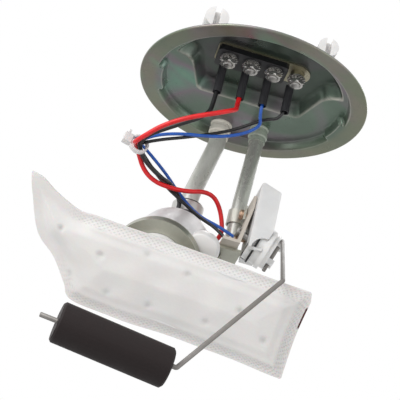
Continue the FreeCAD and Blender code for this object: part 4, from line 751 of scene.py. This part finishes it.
class FUELPUMP_OT_pump(PieceOperator, bpy.types.Operator):
    """Finishes the pump, its works, hose, bracket and isolator"""

    bl_idname = "fuelpump.pump"
    bl_label = "Pump"

    def build(self, scene):
        metal = scene.fuelpump_metal
        plastic = scene.fuelpump_plastic
        give(plated_steel("case_steel", metal.can, shade(metal.can, 1.12), 0.34, 0.5, edge_wear_and_highlight=0.2,
                          speckle=0.12, metallic=0.55), "pump_case")
        give(moulded("cover_plastic", (0.60, 0.59, 0.61), 0.36, 0.52, 0.15, dirt=0.12), "pump_outlet_cover")
        give(moulded("works_resin", plastic.amber, 0.40, 0.60, 0.2, dirt=0.15), "pump_inlet_cover",
             "impeller", "impeller_plate")
        give(plated_steel("bracket_zinc", metal.bracket, (0.40, 0.39, 0.36), 0.28, 0.46, edge_wear_and_highlight=0.5),
             "pump_bracket")
        self.isolator(moulded("isolator_nylon", plastic.white, 0.34, 0.5, 0.12, 0.35, 0.10))
        give(moulded("hose_rubber", shade(plastic.black, 1.5), 0.5, 0.7, 0.35, dirt=0.2), "outlet_hose")
        give(plated_steel("clamp_steel", (0.50, 0.50, 0.48), low=0.28, high=0.45, metallic=0.6),
             "hose_clamps")
        give(plated_steel("blade_tin", (0.55, 0.53, 0.50), scale=2.0), "pump_terminals")
        give(moulded("socket_plastic", plastic.black, 0.35, 0.55, 0.2), "blade_sockets")
        give(plated_steel("shaft_steel", metal.bright, low=0.15, high=0.3, stretch=(3.0, 3.0, 0.3)),
             "armature_shaft", "relief_ball")
        give(plated_steel("laminated_iron", (0.17, 0.17, 0.18), low=0.4, high=0.6, stretch=(0.4, 0.4, 6.0)),
             "armature")
        give(plated_steel("winding_copper", metal.copper, shade(metal.copper, 0.7), 0.3, 0.45,
                          (8.0, 8.0, 1.0)), "armature_windings")
        give(plated_steel("bar_copper", shade(metal.copper, 1.1), low=0.2, high=0.35), "commutator",
             "shaft_bearings")
        give(moulded("magnet_ferrite", (0.045, 0.045, 0.05), 0.5, 0.7, 0.4, dirt=0.2), "magnets")
        give(moulded("brush_carbon", (0.02, 0.02, 0.022), 0.5, 0.7, 0.4), "brushes")
        give(plated_steel("spring_steel", metal.bright, low=0.2, high=0.35, scale=3.0), "brush_springs",
             "valve_springs")
        give(moulded("valve_rubber", shade(plastic.black, 1.4), 0.5, 0.7, 0.2), "check_valve")

    def isolator(self, material):
        """Rounded nylon block against the can."""
        outline, _ = smooth_outline(ISOLATOR_OUTLINE, ISOLATOR_STEPS)
        middle = outline.mean(0)
        rows = []
        for level, share in ISOLATOR_LEVELS:
            section = middle + (outline - middle) * share
            rows.append(in_pump(np.column_stack([section, np.full(ISOLATOR_STEPS, level)])))
        block = mesh_object("isolator_block", np.concatenate(rows), capped(ISOLATOR_STEPS, len(rows)),
                            material, 50.0)
        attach(block, "module")
        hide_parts("pump_isolator")


# The centre of the sender's drum in millimetres, and the tilt of its axis in degrees
SENDER_PIVOT = (22.7, 18.0, -71.7)
SENDER_TILT = 18.0
# The float wire: how far out it crosses the drum, from where to where, its points beyond the drum, the
# radii of its bends and its own radius
ARM_OUT = 9.05
ARM_LOW, ARM_HIGH = -11.0, 11.4
ARM_POINTS = [(24.0, -64.0, -122.6), (-11.93, -73.81, -177.16), (-68.74, -80.86, -171.96)]
ARM_BENDS = [2.4, 2.2, 2.6]
ARM_RADIUS = 1.0
# The black ring that stands for the shadow in the gap behind the drum: its radius, that of its section and
# its place along the drum's axis
GAP_SHADOW_RADIUS = 10.6
GAP_SHADOW_SECTION = 0.55
GAP_SHADOW_PLACE = -1.0
GAP_SHADOW_STEPS = 96
GAP_SHADOW_SIDES = 14


class FUELPUMP_OT_sender(PieceOperator, bpy.types.Operator):
    """Finishes the level sender, its bracket, clip and wire arm"""

    bl_idname = "fuelpump.sender"
    bl_label = "Sender"

    def build(self, scene):
        metal = scene.fuelpump_metal
        plastic = scene.fuelpump_plastic
        give(moulded("housing_nylon", plastic.nylon, 0.28, 0.44, 0.12, 0.4, 0.10), "sender_housing",
             "sender_cover")
        # The drum's nylon is the housing's nylon painted 1.14 times lighter, as painted light on the drum
        # in the case's window.
        give(moulded("rotor_nylon", shade(plastic.nylon, 1.14), 0.32, 0.48, 0.12, 0.3, 0.08),
             "sender_rotor")
        give(moulded("card_ceramic", (0.72, 0.70, 0.66), 0.4, 0.6, 0.3), "resistor_card")
        give(plated_steel("pivot_steel", metal.bright), "sender_pivot")
        give(plated_steel("wiper_bronze", metal.copper), "sender_wiper")
        give(plated_steel("sender_bracket_zinc", (0.47, 0.43, 0.38), (0.56, 0.50, 0.44), 0.28, 0.46,
                          metallic=0.6), "sender_bracket")
        give(plated_steel("clip_zinc", (0.40, 0.40, 0.36), (0.47, 0.45, 0.40), 0.28, 0.46, metallic=0.6),
             "tube_clip")
        give(plated_steel("screw_copper", (0.62, 0.42, 0.30), (0.66, 0.48, 0.36), 0.24, 0.4, scale=2.0),
             "sender_screw", "sender_terminal")
        # Painted shadow: a black ring stands for the shade in the gap round the drum.
        self.gap_shadow_ring(moulded("seal_rubber", shade(plastic.black, 1.2), 0.45, 0.65, 0.2, dirt=0.05))
        self.wire(plated_steel("arm_wire", (0.260, 0.245, 0.230), (0.330, 0.315, 0.300), 0.34, 0.48,
                               edge_wear_and_highlight=0.0, metallic=0.35, scale=0.5, glint=0.12))

    def wire(self, material):
        """The float's wire, from the drum's groove round three bends and through the float."""
        points = [self.by_drum(ARM_OUT, ARM_LOW), self.by_drum(ARM_OUT, ARM_HIGH)] + ARM_POINTS
        arm = bent_wire("float_wire", points, ARM_BENDS, ARM_RADIUS, material)
        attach(arm, "level_arm")
        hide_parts("float_arm")

    def by_drum(self, out, up):
        """Row-frame place of a point given out along the drum's tilted axis and up from it."""
        tilt = math.radians(SENDER_TILT)
        x, y, z = SENDER_PIVOT
        return (x + out * math.cos(tilt) + up * math.sin(tilt), y,
                z - out * math.sin(tilt) + up * math.cos(tilt))

    def gap_shadow_ring(self, material):
        """Black ring in the gap between the sender's case and its drum, as painted shadow in that gap."""
        tilt = math.radians(SENDER_TILT)
        way = np.array([math.cos(tilt), 0.0, -math.sin(tilt)])
        back = np.array([0.0, 1.0, 0.0])
        top = np.cross(way, back)
        angle = np.linspace(0.0, 2 * math.pi, GAP_SHADOW_STEPS, endpoint=False)
        out = np.outer(np.cos(angle), back) + np.outer(np.sin(angle), top)
        rows = []
        for turn in np.linspace(0.0, 2 * math.pi, GAP_SHADOW_SIDES, endpoint=False):
            radius = GAP_SHADOW_RADIUS + GAP_SHADOW_SECTION * math.cos(turn)
            place = GAP_SHADOW_PLACE + GAP_SHADOW_SECTION * math.sin(turn)
            rows.append(np.array(SENDER_PIVOT) + out * radius + way * place)
        faces = stacked_faces(GAP_SHADOW_STEPS, GAP_SHADOW_SIDES, closed=True)
        ring = mesh_object("drum_seal", np.concatenate(rows), faces, material)
        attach(ring, "module")


class FUELPUMP_OT_float(PieceOperator, bpy.types.Operator):
    """Finishes the float in closed-cell rubber with a skin"""

    bl_idname = "fuelpump.float_body"
    bl_label = "Float"

    def build(self, scene):
        colour = scene.fuelpump_plastic.float_body
        look = Surface("float_rubber")
        skin = look.noise(22.0, 3.0, 0.5, (0.5, 2.0, 2.0))
        base = look.ramp(skin, (0.3, shade(colour, 0.85)), (0.52, tuple(colour)),
                         (0.72, shade(colour, 1.35)))
        cells = look.cells(1500.0)
        base = look.mix(look.span(cells, 0.25, 0.0, 0.0, 0.5), base, shade(colour, 0.5))
        scuff = look.noise(130.0, 6.0, 0.7)
        base = look.mix(look.span(scuff, 0.0, 0.3, 0.55, 0.8), base, (0.040, 0.028, 0.026))
        # Convex edges painted three times lighter: partly scuffing, partly a painted highlight.
        base = look.mix(look.math("MULTIPLY", look.convex_edge_mask(), 0.35), base, shade(colour, 3.0))
        look.colour(base).roughness(look.span(scuff, 0.48, 0.66))
        look.set(Specular_IOR_Level=0.24)
        look.height(cells, 0.25, 0.00012)
        look.height(look.noise(55.0, 3.0), 0.25, 0.0006)
        give(look.done(), "float")


# The welded dots of the hem, in millimetres: their steps along the rim and from row to row, and where
# they begin across the bag
DOT_PITCH = 2.4
DOT_ROW_PITCH = 1.55
DOTS_FROM = -44.0
DOTS_FADE = 16.0


def cloth_material(settings):
    """Pressed white cloth with welded hems, point welds and a fine weave; the pits of the hem's dots and
    the point welds are painted darker as painted shade.
    """
    look = Surface("strainer_cloth")
    colour = settings.cloth
    edge = look.attribute("edge_mm")
    run = look.attribute("run_mm")
    dots = look.math("SINE", look.math("MULTIPLY", run, 2 * math.pi / DOT_PITCH))
    rows = look.math("COSINE", look.math("MULTIPLY", edge, 2 * math.pi / DOT_ROW_PITCH))
    in_hem = look.math("MULTIPLY", look.span(edge, 1.0, 0.0, 4.3, 4.9), look.attribute("hem_dots"))
    off_rim = look.span(edge, 0.0, 1.0, 0.5, 0.9)
    pits = look.math("MULTIPLY", look.span(look.math("MULTIPLY", dots, rows), 0.0, 1.0, 0.15, 0.75),
                     look.math("MULTIPLY", in_hem, off_rim))
    cloud = look.noise(26.0, 4.0, 0.55)
    base = look.ramp(cloud, (0.30, shade(colour, 0.95)), (0.55, tuple(colour)), (0.72, (0.80, 0.77, 0.745)))
    fibres = look.noise(700.0, 4.0, 0.7, (1.0, 2.6, 1.0))
    base = look.mix(look.span(fibres, 0.0, 0.16), base, shade(colour, 0.80))
    # Painted shade: the pits of the hem's welded dots are painted darker.
    base = look.mix(look.math("MULTIPLY", pits, 0.30), base, shade(colour, 0.60))
    # Painted shade: the dimples of the point welds are painted darker.
    base = look.mix(look.math("MULTIPLY", look.attribute("weld"), 0.55), base, shade(colour, 0.66))
    base = look.mix(look.attribute("strip"), base, (0.085, 0.030, 0.028))
    look.colour(base).roughness(look.span(look.noise(60.0, 3.0), 0.72, 0.9))
    look.set(Specular_IOR_Level=0.25, Sheen_Weight=0.12, Subsurface_Weight=0.15, Subsurface_Scale=0.002)
    look.height(pits, 0.6, -0.0003)
    look.height(fibres, 0.22, 0.00012)
    look.height(look.noise(170.0, 3.0, 0.6), 0.25, 0.0004)
    return look.done()


# The bag's outline in the pump's own plane, in millimetres across and up, and which points are sharp
BAG_OUTLINE = [
    (-57.0, 33.2), (-51.6, 31.1), (-44.9, 25.7), (-34.4, 19.7), (-24.7, 18.4), (0.0, 14.8), (39.1, 8.9),
    (71.4, 3.5), (71.7, -0.5), (67.9, -16.9), (65.3, -36.0), (24.6, -28.8), (-9.0, -24.5), (-31.1, -20.4),
    (-35.9, -13.1), (-42.2, -2.6), (-50.6, 7.1), (-55.7, 25.0),
]
SHARP_CORNERS = {0, 7, 8, 10}
# The line down the bag's middle in which its rings end
SPINE_LEFT, SPINE_RIGHT = np.array([-38.0, 6.0]), np.array([52.0, -11.5])
# Where the two sides are welded together inside the hem, the square of each weld's radius and its depth
POINT_WELDS = [
    (-40, 11), (-21, 3), (-1, 7), (18, 2), (43, -9), (-16, -13), (3, -15), (29, -17), (55, -20), (-34, -8),
]
WELD_SPREAD = 1.7
WELD_DEPTH = 1.3
# The dark strip in the right edge: its left end, its lower and upper ends and its width
STRIP_LEFT = 64.5
STRIP_LOW, STRIP_HIGH = -13.0, -3.5
STRIP_WIDTH = 0.9
# The bag's middle along the pump, and half of the hem's thickness
BAG_MIDDLE = -13.05
HEM_HALF = 0.35
# How far the bag's two ends curl along the pump, from where and over what run
CURL_LEFT, CURL_LEFT_FROM, CURL_LEFT_RUN = -2.6, -36.0, 20.0
CURL_RIGHT, CURL_RIGHT_FROM, CURL_RIGHT_RUN = 1.4, 58.0, 14.0
# The frame inside the bag, in the same plane: its turn in degrees, middle, half size, height and bars
FRAME_TURN = 9.0
FRAME_MIDDLE = (19.0, -5.0)
FRAME_HALF = (45.0, 15.0)
FRAME_RISE = 2.75
FRAME_MARGIN = 11.0
BAR_PITCH = 17.6
BAR_START = -21.3
BAR_SLANT = 0.16


def distance_to_line(points, line):
    """Least distance from each point to the closed line."""
    start = line[None, :, :]
    step = np.roll(line, -1, axis=0)[None, :, :] - start
    away = points[:, None, :] - start
    share = np.clip((away * step).sum(2) / np.maximum((step * step).sum(2), 1e-9), 0.0, 1.0)
    return np.linalg.norm(away - share[..., None] * step, axis=2).min(1)


def ripple(x, y, *waves):
    """Sum of slow waves that stands for the cloth's unevenness."""
    total = np.zeros_like(x)
    for length, angle, phase, size in waves:
        along = x * math.cos(angle) + y * math.sin(angle)
        total += size * np.sin(2 * math.pi * along / length + phase)
    return total


class FUELPUMP_OT_bag(PieceOperator, bpy.types.Operator):
    """Makes the strainer bag: two cloth sides welded at the hem, sagging over the frame inside"""

    bl_idname = "fuelpump.bag"
    bl_label = "Strainer bag"

    def build(self, scene):
        settings = scene.fuelpump_bag
        rim, run = smooth_outline(BAG_OUTLINE, settings.steps_round, SHARP_CORNERS)
        spine = SPINE_RIGHT - SPINE_LEFT
        share = np.clip(((rim - SPINE_LEFT) @ spine) / (spine @ spine), 0.0, 1.0)
        core = SPINE_LEFT + share[:, None] * spine
        points = []
        layers = {name: [] for name in ("edge_mm", "run_mm", "weld", "strip", "hem_dots")}
        for side in (1, -1):
            for inward in np.linspace(0.0, 1.0, settings.steps_in + 1) ** 1.35:
                flat = rim + (core - rim) * inward
                gap = distance_to_line(flat, rim)
                points.append(self.lift(flat, gap, side, settings))
                layers["edge_mm"].append(gap)
                layers["run_mm"].append(run)
                layers["weld"].append(self.welds(flat))
                layers["strip"].append(self.strip(flat, gap))
                layers["hem_dots"].append(smooth_step((flat[:, 0] - DOTS_FROM) / DOTS_FADE))
        layers = {name: np.concatenate(values) for name, values in layers.items()}
        bag = mesh_object("strainer_bag", np.concatenate(points),
                          self.faces(settings.steps_round, settings.steps_in), cloth_material(settings),
                          None, layers)
        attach(bag, "module")
        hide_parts("strainer_sock")

    def lift(self, flat, gap, side, settings):
        """Place in the row frame of points of the cloth, from its height over the bag's middle plane."""
        x, y = flat[:, 0], flat[:, 1]
        hem = settings.hem / MM
        full = settings.half_height / MM
        steep, slow = smooth_step((gap - hem + 1.2) / 7.0), smooth_step((gap - hem + 3.0) / 24.0)
        body = 0.56 * steep + 0.44 * slow
        bars = 0.5 - 0.5 * np.cos(2 * math.pi * (x - BAR_START + y * BAR_SLANT) / BAR_PITCH)
        over_frame = smooth_step((gap - 7.0) / 9.0) * smooth_step((x + 44.0) / 18.0)
        height = HEM_HALF + (full - HEM_HALF) * body
        height -= settings.sag / MM * bars * over_frame
        height -= WELD_DEPTH * self.welds(flat) * body
        held = FRAME_RISE * self.near_frame(x, y) * smooth_step((gap - 1.0) / 5.0)
        height = soft_most(height, HEM_HALF + held, 1.6)
        height += 0.12 * body * ripple(x, y, (23.0, 0.4, 0.3 + side, 1.0), (11.0, 1.9, 1.1, 0.6),
                                       (37.0, -0.7, 2.0, 1.2))
        middle = 0.5 * (1 - body) * ripple(x, y, (31.0, 0.2, 0.5, 0.9), (17.0, 1.2, 1.7, 0.4))
        left = np.clip((CURL_LEFT_FROM - x) / CURL_LEFT_RUN, 0.0, 1.0)
        right = np.clip((x - CURL_RIGHT_FROM) / CURL_RIGHT_RUN, 0.0, 1.0)
        middle += CURL_LEFT * left ** 2 + CURL_RIGHT * right ** 2
        return in_pump(np.column_stack([x, y, BAG_MIDDLE + middle + side * height]))

    def near_frame(self, x, y):
        """One over the frame inside the bag, falling to nothing a little way outside it."""
        turn = math.radians(FRAME_TURN)
        across = x * math.cos(turn) - y * math.sin(turn)
        along = x * math.sin(turn) + y * math.cos(turn)
        out = np.hypot(np.maximum(np.abs(across - FRAME_MIDDLE[0]) - FRAME_HALF[0], 0.0),
                       np.maximum(np.abs(along - FRAME_MIDDLE[1]) - FRAME_HALF[1], 0.0))
        return smooth_step((FRAME_MARGIN - out) / (FRAME_MARGIN - 1.0))

    def welds(self, flat):
        """One at each point weld, falling to nothing round it."""
        total = np.zeros(len(flat))
        for x, y in POINT_WELDS:
            total += np.exp(-((flat[:, 0] - x) ** 2 + (flat[:, 1] - y) ** 2) / WELD_SPREAD)
        return np.clip(total, 0.0, 1.0)

    def strip(self, flat, gap):
        """One on the dark strip in the bag's right edge, and nothing elsewhere."""
        x, y = flat[:, 0], flat[:, 1]
        on_strip = (x > STRIP_LEFT) & (gap < STRIP_WIDTH) & (y < STRIP_HIGH) & (y > STRIP_LOW)
        return on_strip.astype(float)

    def faces(self, around, rings):
        """Quads of the two sides, joined along the rim; each side's rings end in the spine."""
        faces = []
        shift = around * (rings + 1)
        for base, flip in ((0, False), (shift, True)):
            for ring in range(rings):
                for number in range(around):
                    after = (number + 1) % around
                    quad = (base + ring * around + number, base + ring * around + after,
                            base + (ring + 1) * around + after, base + (ring + 1) * around + number)
                    faces.append(tuple(reversed(quad)) if flip else quad)
        for number in range(around):
            after = (number + 1) % around
            faces.append((after, number, shift + number, shift + after))
        return faces


# The wires' routes in millimetres, from the sleeve at the stud down to the pump or the sender
WIRE_ROUTES = {
    "wire_pump_ground": [
        (-19.4, -11.4, -4.0), (-19.6, -11.0, -15.5), (-20.6, -12.0, -25.1),
        (-34.9, -10.8, -35.1), (-50.3, -3.0, -43.1), (-47.3, 7.4, -47.5),
        (-34.2, 12.2, -53.9), (-27.7, 22.6, -50.0), (-18.8, 25.2, -59.3),
        (-26.6, 29.8, -70.2), (-27.9, 29.3, -78.0),
    ],
    "wire_pump_positive": [
        (-7.4, -11.4, -4.0), (-7.8, -11.0, -15.5), (-8.6, -22.5, -24.0),
        (-37.9, -18.5, -37.3), (-52.3, -6.9, -48.5), (-51.6, 5.2, -42.1),
        (-41.4, 15.6, -54.9), (-22.1, 17.8, -55.3), (-6.6, 23.9, -47.0),
        (1.6, 27.7, -54.6), (6.1, 31.8, -70.4), (-6.3, 25.0, -78.0),
    ],
    "wire_sender": [
        (4.6, -11.4, -4.0), (4.4, -10.6, -14.5), (8.2, -1.0, -16.7),
        (-7.9, 4.4, -25.4), (-37.7, -1.7, -35.0), (-52.1, 0.1, -44.6),
        (-50.7, 13.3, -35.8), (-32.6, 18.2, -46.8), (-24.0, 26.2, -51.0),
        (-10.9, 26.0, -61.6), (3.1, 24.1, -65.5), (10.2, 23.9, -68.5),
    ],
    "wire_sender_ground": [
        (16.6, -11.4, -4.0), (16.4, -10.6, -14.0), (8.2, -4.8, -13.2),
        (-5.0, 5.4, -19.3), (-26.6, 5.0, -30.7), (-39.5, -0.4, -39.3),
        (-48.9, 1.4, -43.7), (-50.4, 13.3, -38.8), (-32.4, 20.2, -52.4),
        (-20.8, 21.5, -58.3), (-9.3, 24.0, -63.4), (1.6, 22.5, -67.7),
        (8.3, 20.5, -74.4),
    ],
}


def insulation(name, colour):
    """Extruded insulation: faint draw lines, dust and a soft sheen."""
    look = Surface(name)
    drawn = look.noise(300.0, 3.0, 0.6)
    base = look.ramp(drawn, (0.3, shade(colour, 0.85)), (0.7, shade(colour, 1.15)))
    dust = look.noise(90.0, 6.0, 0.7)
    base = look.mix(look.span(dust, 0.0, 0.05, 0.55, 0.85), base, (0.3, 0.29, 0.28))
    look.colour(base).roughness(look.span(dust, 0.30, 0.5))
    look.set(Specular_IOR_Level=0.5, Coat_Weight=0.15, Coat_Roughness=0.3)
    look.height(drawn, 0.15, 0.0001)
    return look.done()


class FUELPUMP_OT_wires(PieceOperator, bpy.types.Operator):
    """Makes the four wires along their routes and finishes the cable tie"""

    bl_idname = "fuelpump.wires"
    bl_label = "Wires"

    def build(self, scene):
        settings = scene.fuelpump_wires
        looks = {
            "wire_pump_ground": ("insulation_black", settings.black, settings.thick, "rubber_black"),
            "wire_pump_positive": ("insulation_red", settings.red, settings.thick, "red_insulation"),
            "wire_sender": ("insulation_blue", settings.blue, settings.thin, "blue_insulation"),
            "wire_sender_ground": ("insulation_thin_black", settings.black, settings.thin, "rubber_black"),
        }
        for name, route in WIRE_ROUTES.items():
            material, colour, diameter, slot = looks[name]
            wire = self.wire(name + "_cord", route, diameter, insulation(material, colour))
            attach(wire, "module")
            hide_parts(name)
        give(moulded("tie_nylon", (0.80, 0.78, 0.77), 0.35, 0.5, 0.1, 0.3, 0.05), "cable_tie")

    def wire(self, name, route, diameter, material):
        """Round wire along a smooth line that the route's points pull at."""
        curve = bpy.data.curves.new(name, "CURVE")
        curve.dimensions = "3D"
        curve.bevel_depth = diameter / 2
        curve.bevel_resolution = 6
        curve.resolution_u = 14
        curve.use_fill_caps = True
        spline = curve.splines.new("NURBS")
        spline.points.add(len(route) - 1)
        for point, spot in zip(spline.points, route):
            point.co = (spot[0] * MM, spot[1] * MM, spot[2] * MM, 1.0)
        spline.order_u = 3
        spline.use_endpoint_u = True
        wire = bpy.data.objects.new(name, curve)
        bpy.context.scene.collection.objects.link(wire)
        curve.materials.append(material)
        return wire


class FUELPUMP_OT_strainer(PieceOperator, bpy.types.Operator):
    """Finishes the strainer's collar, frame and push ring"""

    bl_idname = "fuelpump.strainer"
    bl_label = "Strainer fittings"

    def build(self, scene):
        plastic = scene.fuelpump_plastic
        give(moulded("strainer_plastic", plastic.white, 0.38, 0.55, 0.15, 0.2, 0.1), "strainer_collar",
             "strainer_frame")
        give(plated_steel("push_ring_steel", scene.fuelpump_metal.bright, scale=2.0), "strainer_push_ring")


# Stage

# The floor's half width, and each light's place and diameter, in metres
FLOOR_HALF = 2.5
LIGHTS = {
    "key": ((-0.55, -0.55, 0.16), 0.8),
    "fill": ((0.75, -0.60, -0.25), 0.8),
    "rim": ((0.25, 0.55, 0.65), 0.7),
}
LIGHTS_AIM = Vector((0.0, -0.02, -0.09))
# The camera: its angles in degrees, and its place across, up and ahead of the flange's centre
CAMERA_RISE, CAMERA_ROLL, CAMERA_SWING = 26.7, 14.1, 5.0
CAMERA_PLACE = (-13.25, -58.2, -562.5)


class FUELPUMP_OT_stage(PieceOperator, bpy.types.Operator):
    """Sets up the floor, surroundings, lights and camera"""

    bl_idname = "fuelpump.stage"
    bl_label = "Stage"

    def build(self, scene):
        settings = scene.fuelpump_stage
        self.floor(scene, settings)
        self.world(scene, settings)
        for name, (place, size) in LIGHTS.items():
            self.light(scene, name + "_light", getattr(settings, name), place, size)
        self.camera(scene, settings)
        scene.view_settings.view_transform = "Standard"

    def floor(self, scene, settings):
        """Sheet of pale paper below the module."""
        corners = [(-1, -1), (1, -1), (1, 1), (-1, 1)]
        mesh = bpy.data.meshes.new("floor")
        mesh.from_pydata([(x * FLOOR_HALF, y * FLOOR_HALF, -settings.floor_drop) for x, y in corners], [],
                         [(0, 1, 2, 3)])
        floor = bpy.data.objects.new("floor", mesh)
        scene.collection.objects.link(floor)
        look = Surface("floor_paper")
        base = look.ramp(look.noise(3.0, 2.0), (0.3, (0.80, 0.80, 0.80)), (0.7, (0.84, 0.84, 0.84)))
        look.colour(base).set(Roughness=0.9, Specular_IOR_Level=0.2, Emission_Strength=settings.floor_glow)
        look.shader.inputs["Emission Color"].default_value = (1.0, 1.0, 1.0, 1.0)
        mesh.materials.append(look.done())

    def world(self, scene, settings):
        """White surroundings for the camera and for reflections, and dimmer ones for matt surfaces."""
        world = bpy.data.worlds.new("surroundings")
        scene.world = world
        world.use_nodes = True
        nodes, links = world.node_tree.nodes, world.node_tree.links
        background = nodes["Background"]
        path = nodes.new("ShaderNodeLightPath")
        seen = nodes.new("ShaderNodeMath")
        seen.operation = "MAXIMUM"
        links.new(path.outputs["Is Camera Ray"], seen.inputs[0])
        shiny = nodes.new("ShaderNodeMath")
        shiny.operation = "MAXIMUM"
        links.new(path.outputs["Is Glossy Ray"], shiny.inputs[0])
        links.new(path.outputs["Is Transmission Ray"], shiny.inputs[1])
        links.new(shiny.outputs[0], seen.inputs[1])
        level = nodes.new("ShaderNodeMapRange")
        level.inputs["To Min"].default_value = settings.ambient
        level.inputs["To Max"].default_value = 1.0
        links.new(seen.outputs[0], level.inputs["Value"])
        background.inputs["Color"].default_value = (1.0, 1.0, 1.0, 1.0)
        links.new(level.outputs["Result"], background.inputs["Strength"])

    def light(self, scene, name, power, place, size):
        """Round soft light, turned to the middle of the module."""
        data = bpy.data.lights.new(name, "AREA")
        data.energy = power
        data.shape = "DISK"
        data.size = size
        lamp = bpy.data.objects.new(name, data)
        scene.collection.objects.link(lamp)
        lamp.location = place
        lamp.rotation_euler = (LIGHTS_AIM - Vector(place)).to_track_quat("-Z", "Y").to_euler()

    def camera(self, scene, settings):
        """Camera that looks up at the flange from below, with its right side raised."""
        rise, roll, swing = (math.radians(angle) for angle in (CAMERA_RISE, CAMERA_ROLL, CAMERA_SWING))
        right = Vector((math.cos(swing), -math.sin(swing), 0.0))
        ahead = Vector((math.sin(swing) * math.cos(rise), math.cos(swing) * math.cos(rise), math.sin(rise)))
        up = right.cross(ahead)
        eye = (CAMERA_PLACE[0] * right + CAMERA_PLACE[1] * up + CAMERA_PLACE[2] * ahead) * MM
        x_axis = right * math.cos(roll) + up * math.sin(roll)
        y_axis = up * math.cos(roll) - right * math.sin(roll)
        data = bpy.data.cameras.new("camera")
        data.lens = settings.lens
        data.sensor_width = 36.0
        data.clip_start = 0.02
        camera = bpy.data.objects.new("camera", data)
        scene.collection.objects.link(camera)
        turn = Matrix((x_axis, y_axis, -ahead)).transposed().to_4x4()
        camera.matrix_world = Matrix.Translation(eye) @ turn
        scene.camera = camera


class FUELPUMP_PT_panel(bpy.types.Panel):
    """Sidebar panel with the settings and one button for each piece"""

    bl_label = "Fuel Pump"
    bl_idname = "FUELPUMP_PT_panel"
    bl_space_type = "VIEW_3D"
    bl_region_type = "UI"
    bl_category = "Fuel Pump"

    def draw(self, context):
        for group, kind in SETTINGS.items():
            box = self.layout.box()
            box.label(text=group.capitalize())
            settings = getattr(context.scene, "fuelpump_" + group)
            for name in kind.__annotations__:
                box.prop(settings, name)
        column = self.layout.column(align=True)
        for operator in OPERATORS:
            column.operator(operator.bl_idname)


OPERATORS = (
    FUELPUMP_OT_flange, FUELPUMP_OT_terminals, FUELPUMP_OT_lines, FUELPUMP_OT_pump, FUELPUMP_OT_sender,
    FUELPUMP_OT_float, FUELPUMP_OT_strainer, FUELPUMP_OT_bag, FUELPUMP_OT_wires, FUELPUMP_OT_stage,
)
SETTINGS = {
    "metal": FUELPUMP_PG_metal,
    "flange": FUELPUMP_PG_flange,
    "plastic": FUELPUMP_PG_plastic,
    "wires": FUELPUMP_PG_wires,
    "bag": FUELPUMP_PG_bag,
    "stage": FUELPUMP_PG_stage,
}
CLASSES = (*SETTINGS.values(), *OPERATORS, FUELPUMP_PT_panel)


def register():
    for item in CLASSES:
        bpy.utils.register_class(item)
    for name, group in SETTINGS.items():
        setattr(bpy.types.Scene, "fuelpump_" + name, bpy.props.PointerProperty(type=group))


def unregister():
    for name in SETTINGS:
        delattr(bpy.types.Scene, "fuelpump_" + name)
    for item in reversed(CLASSES):
        bpy.utils.unregister_class(item)


def main():
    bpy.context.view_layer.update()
    register()
    for operator in OPERATORS:
        group, name = operator.bl_idname.split(".")
        getattr(getattr(bpy.ops, group), name)()


if __name__ == "__main__":
    main()
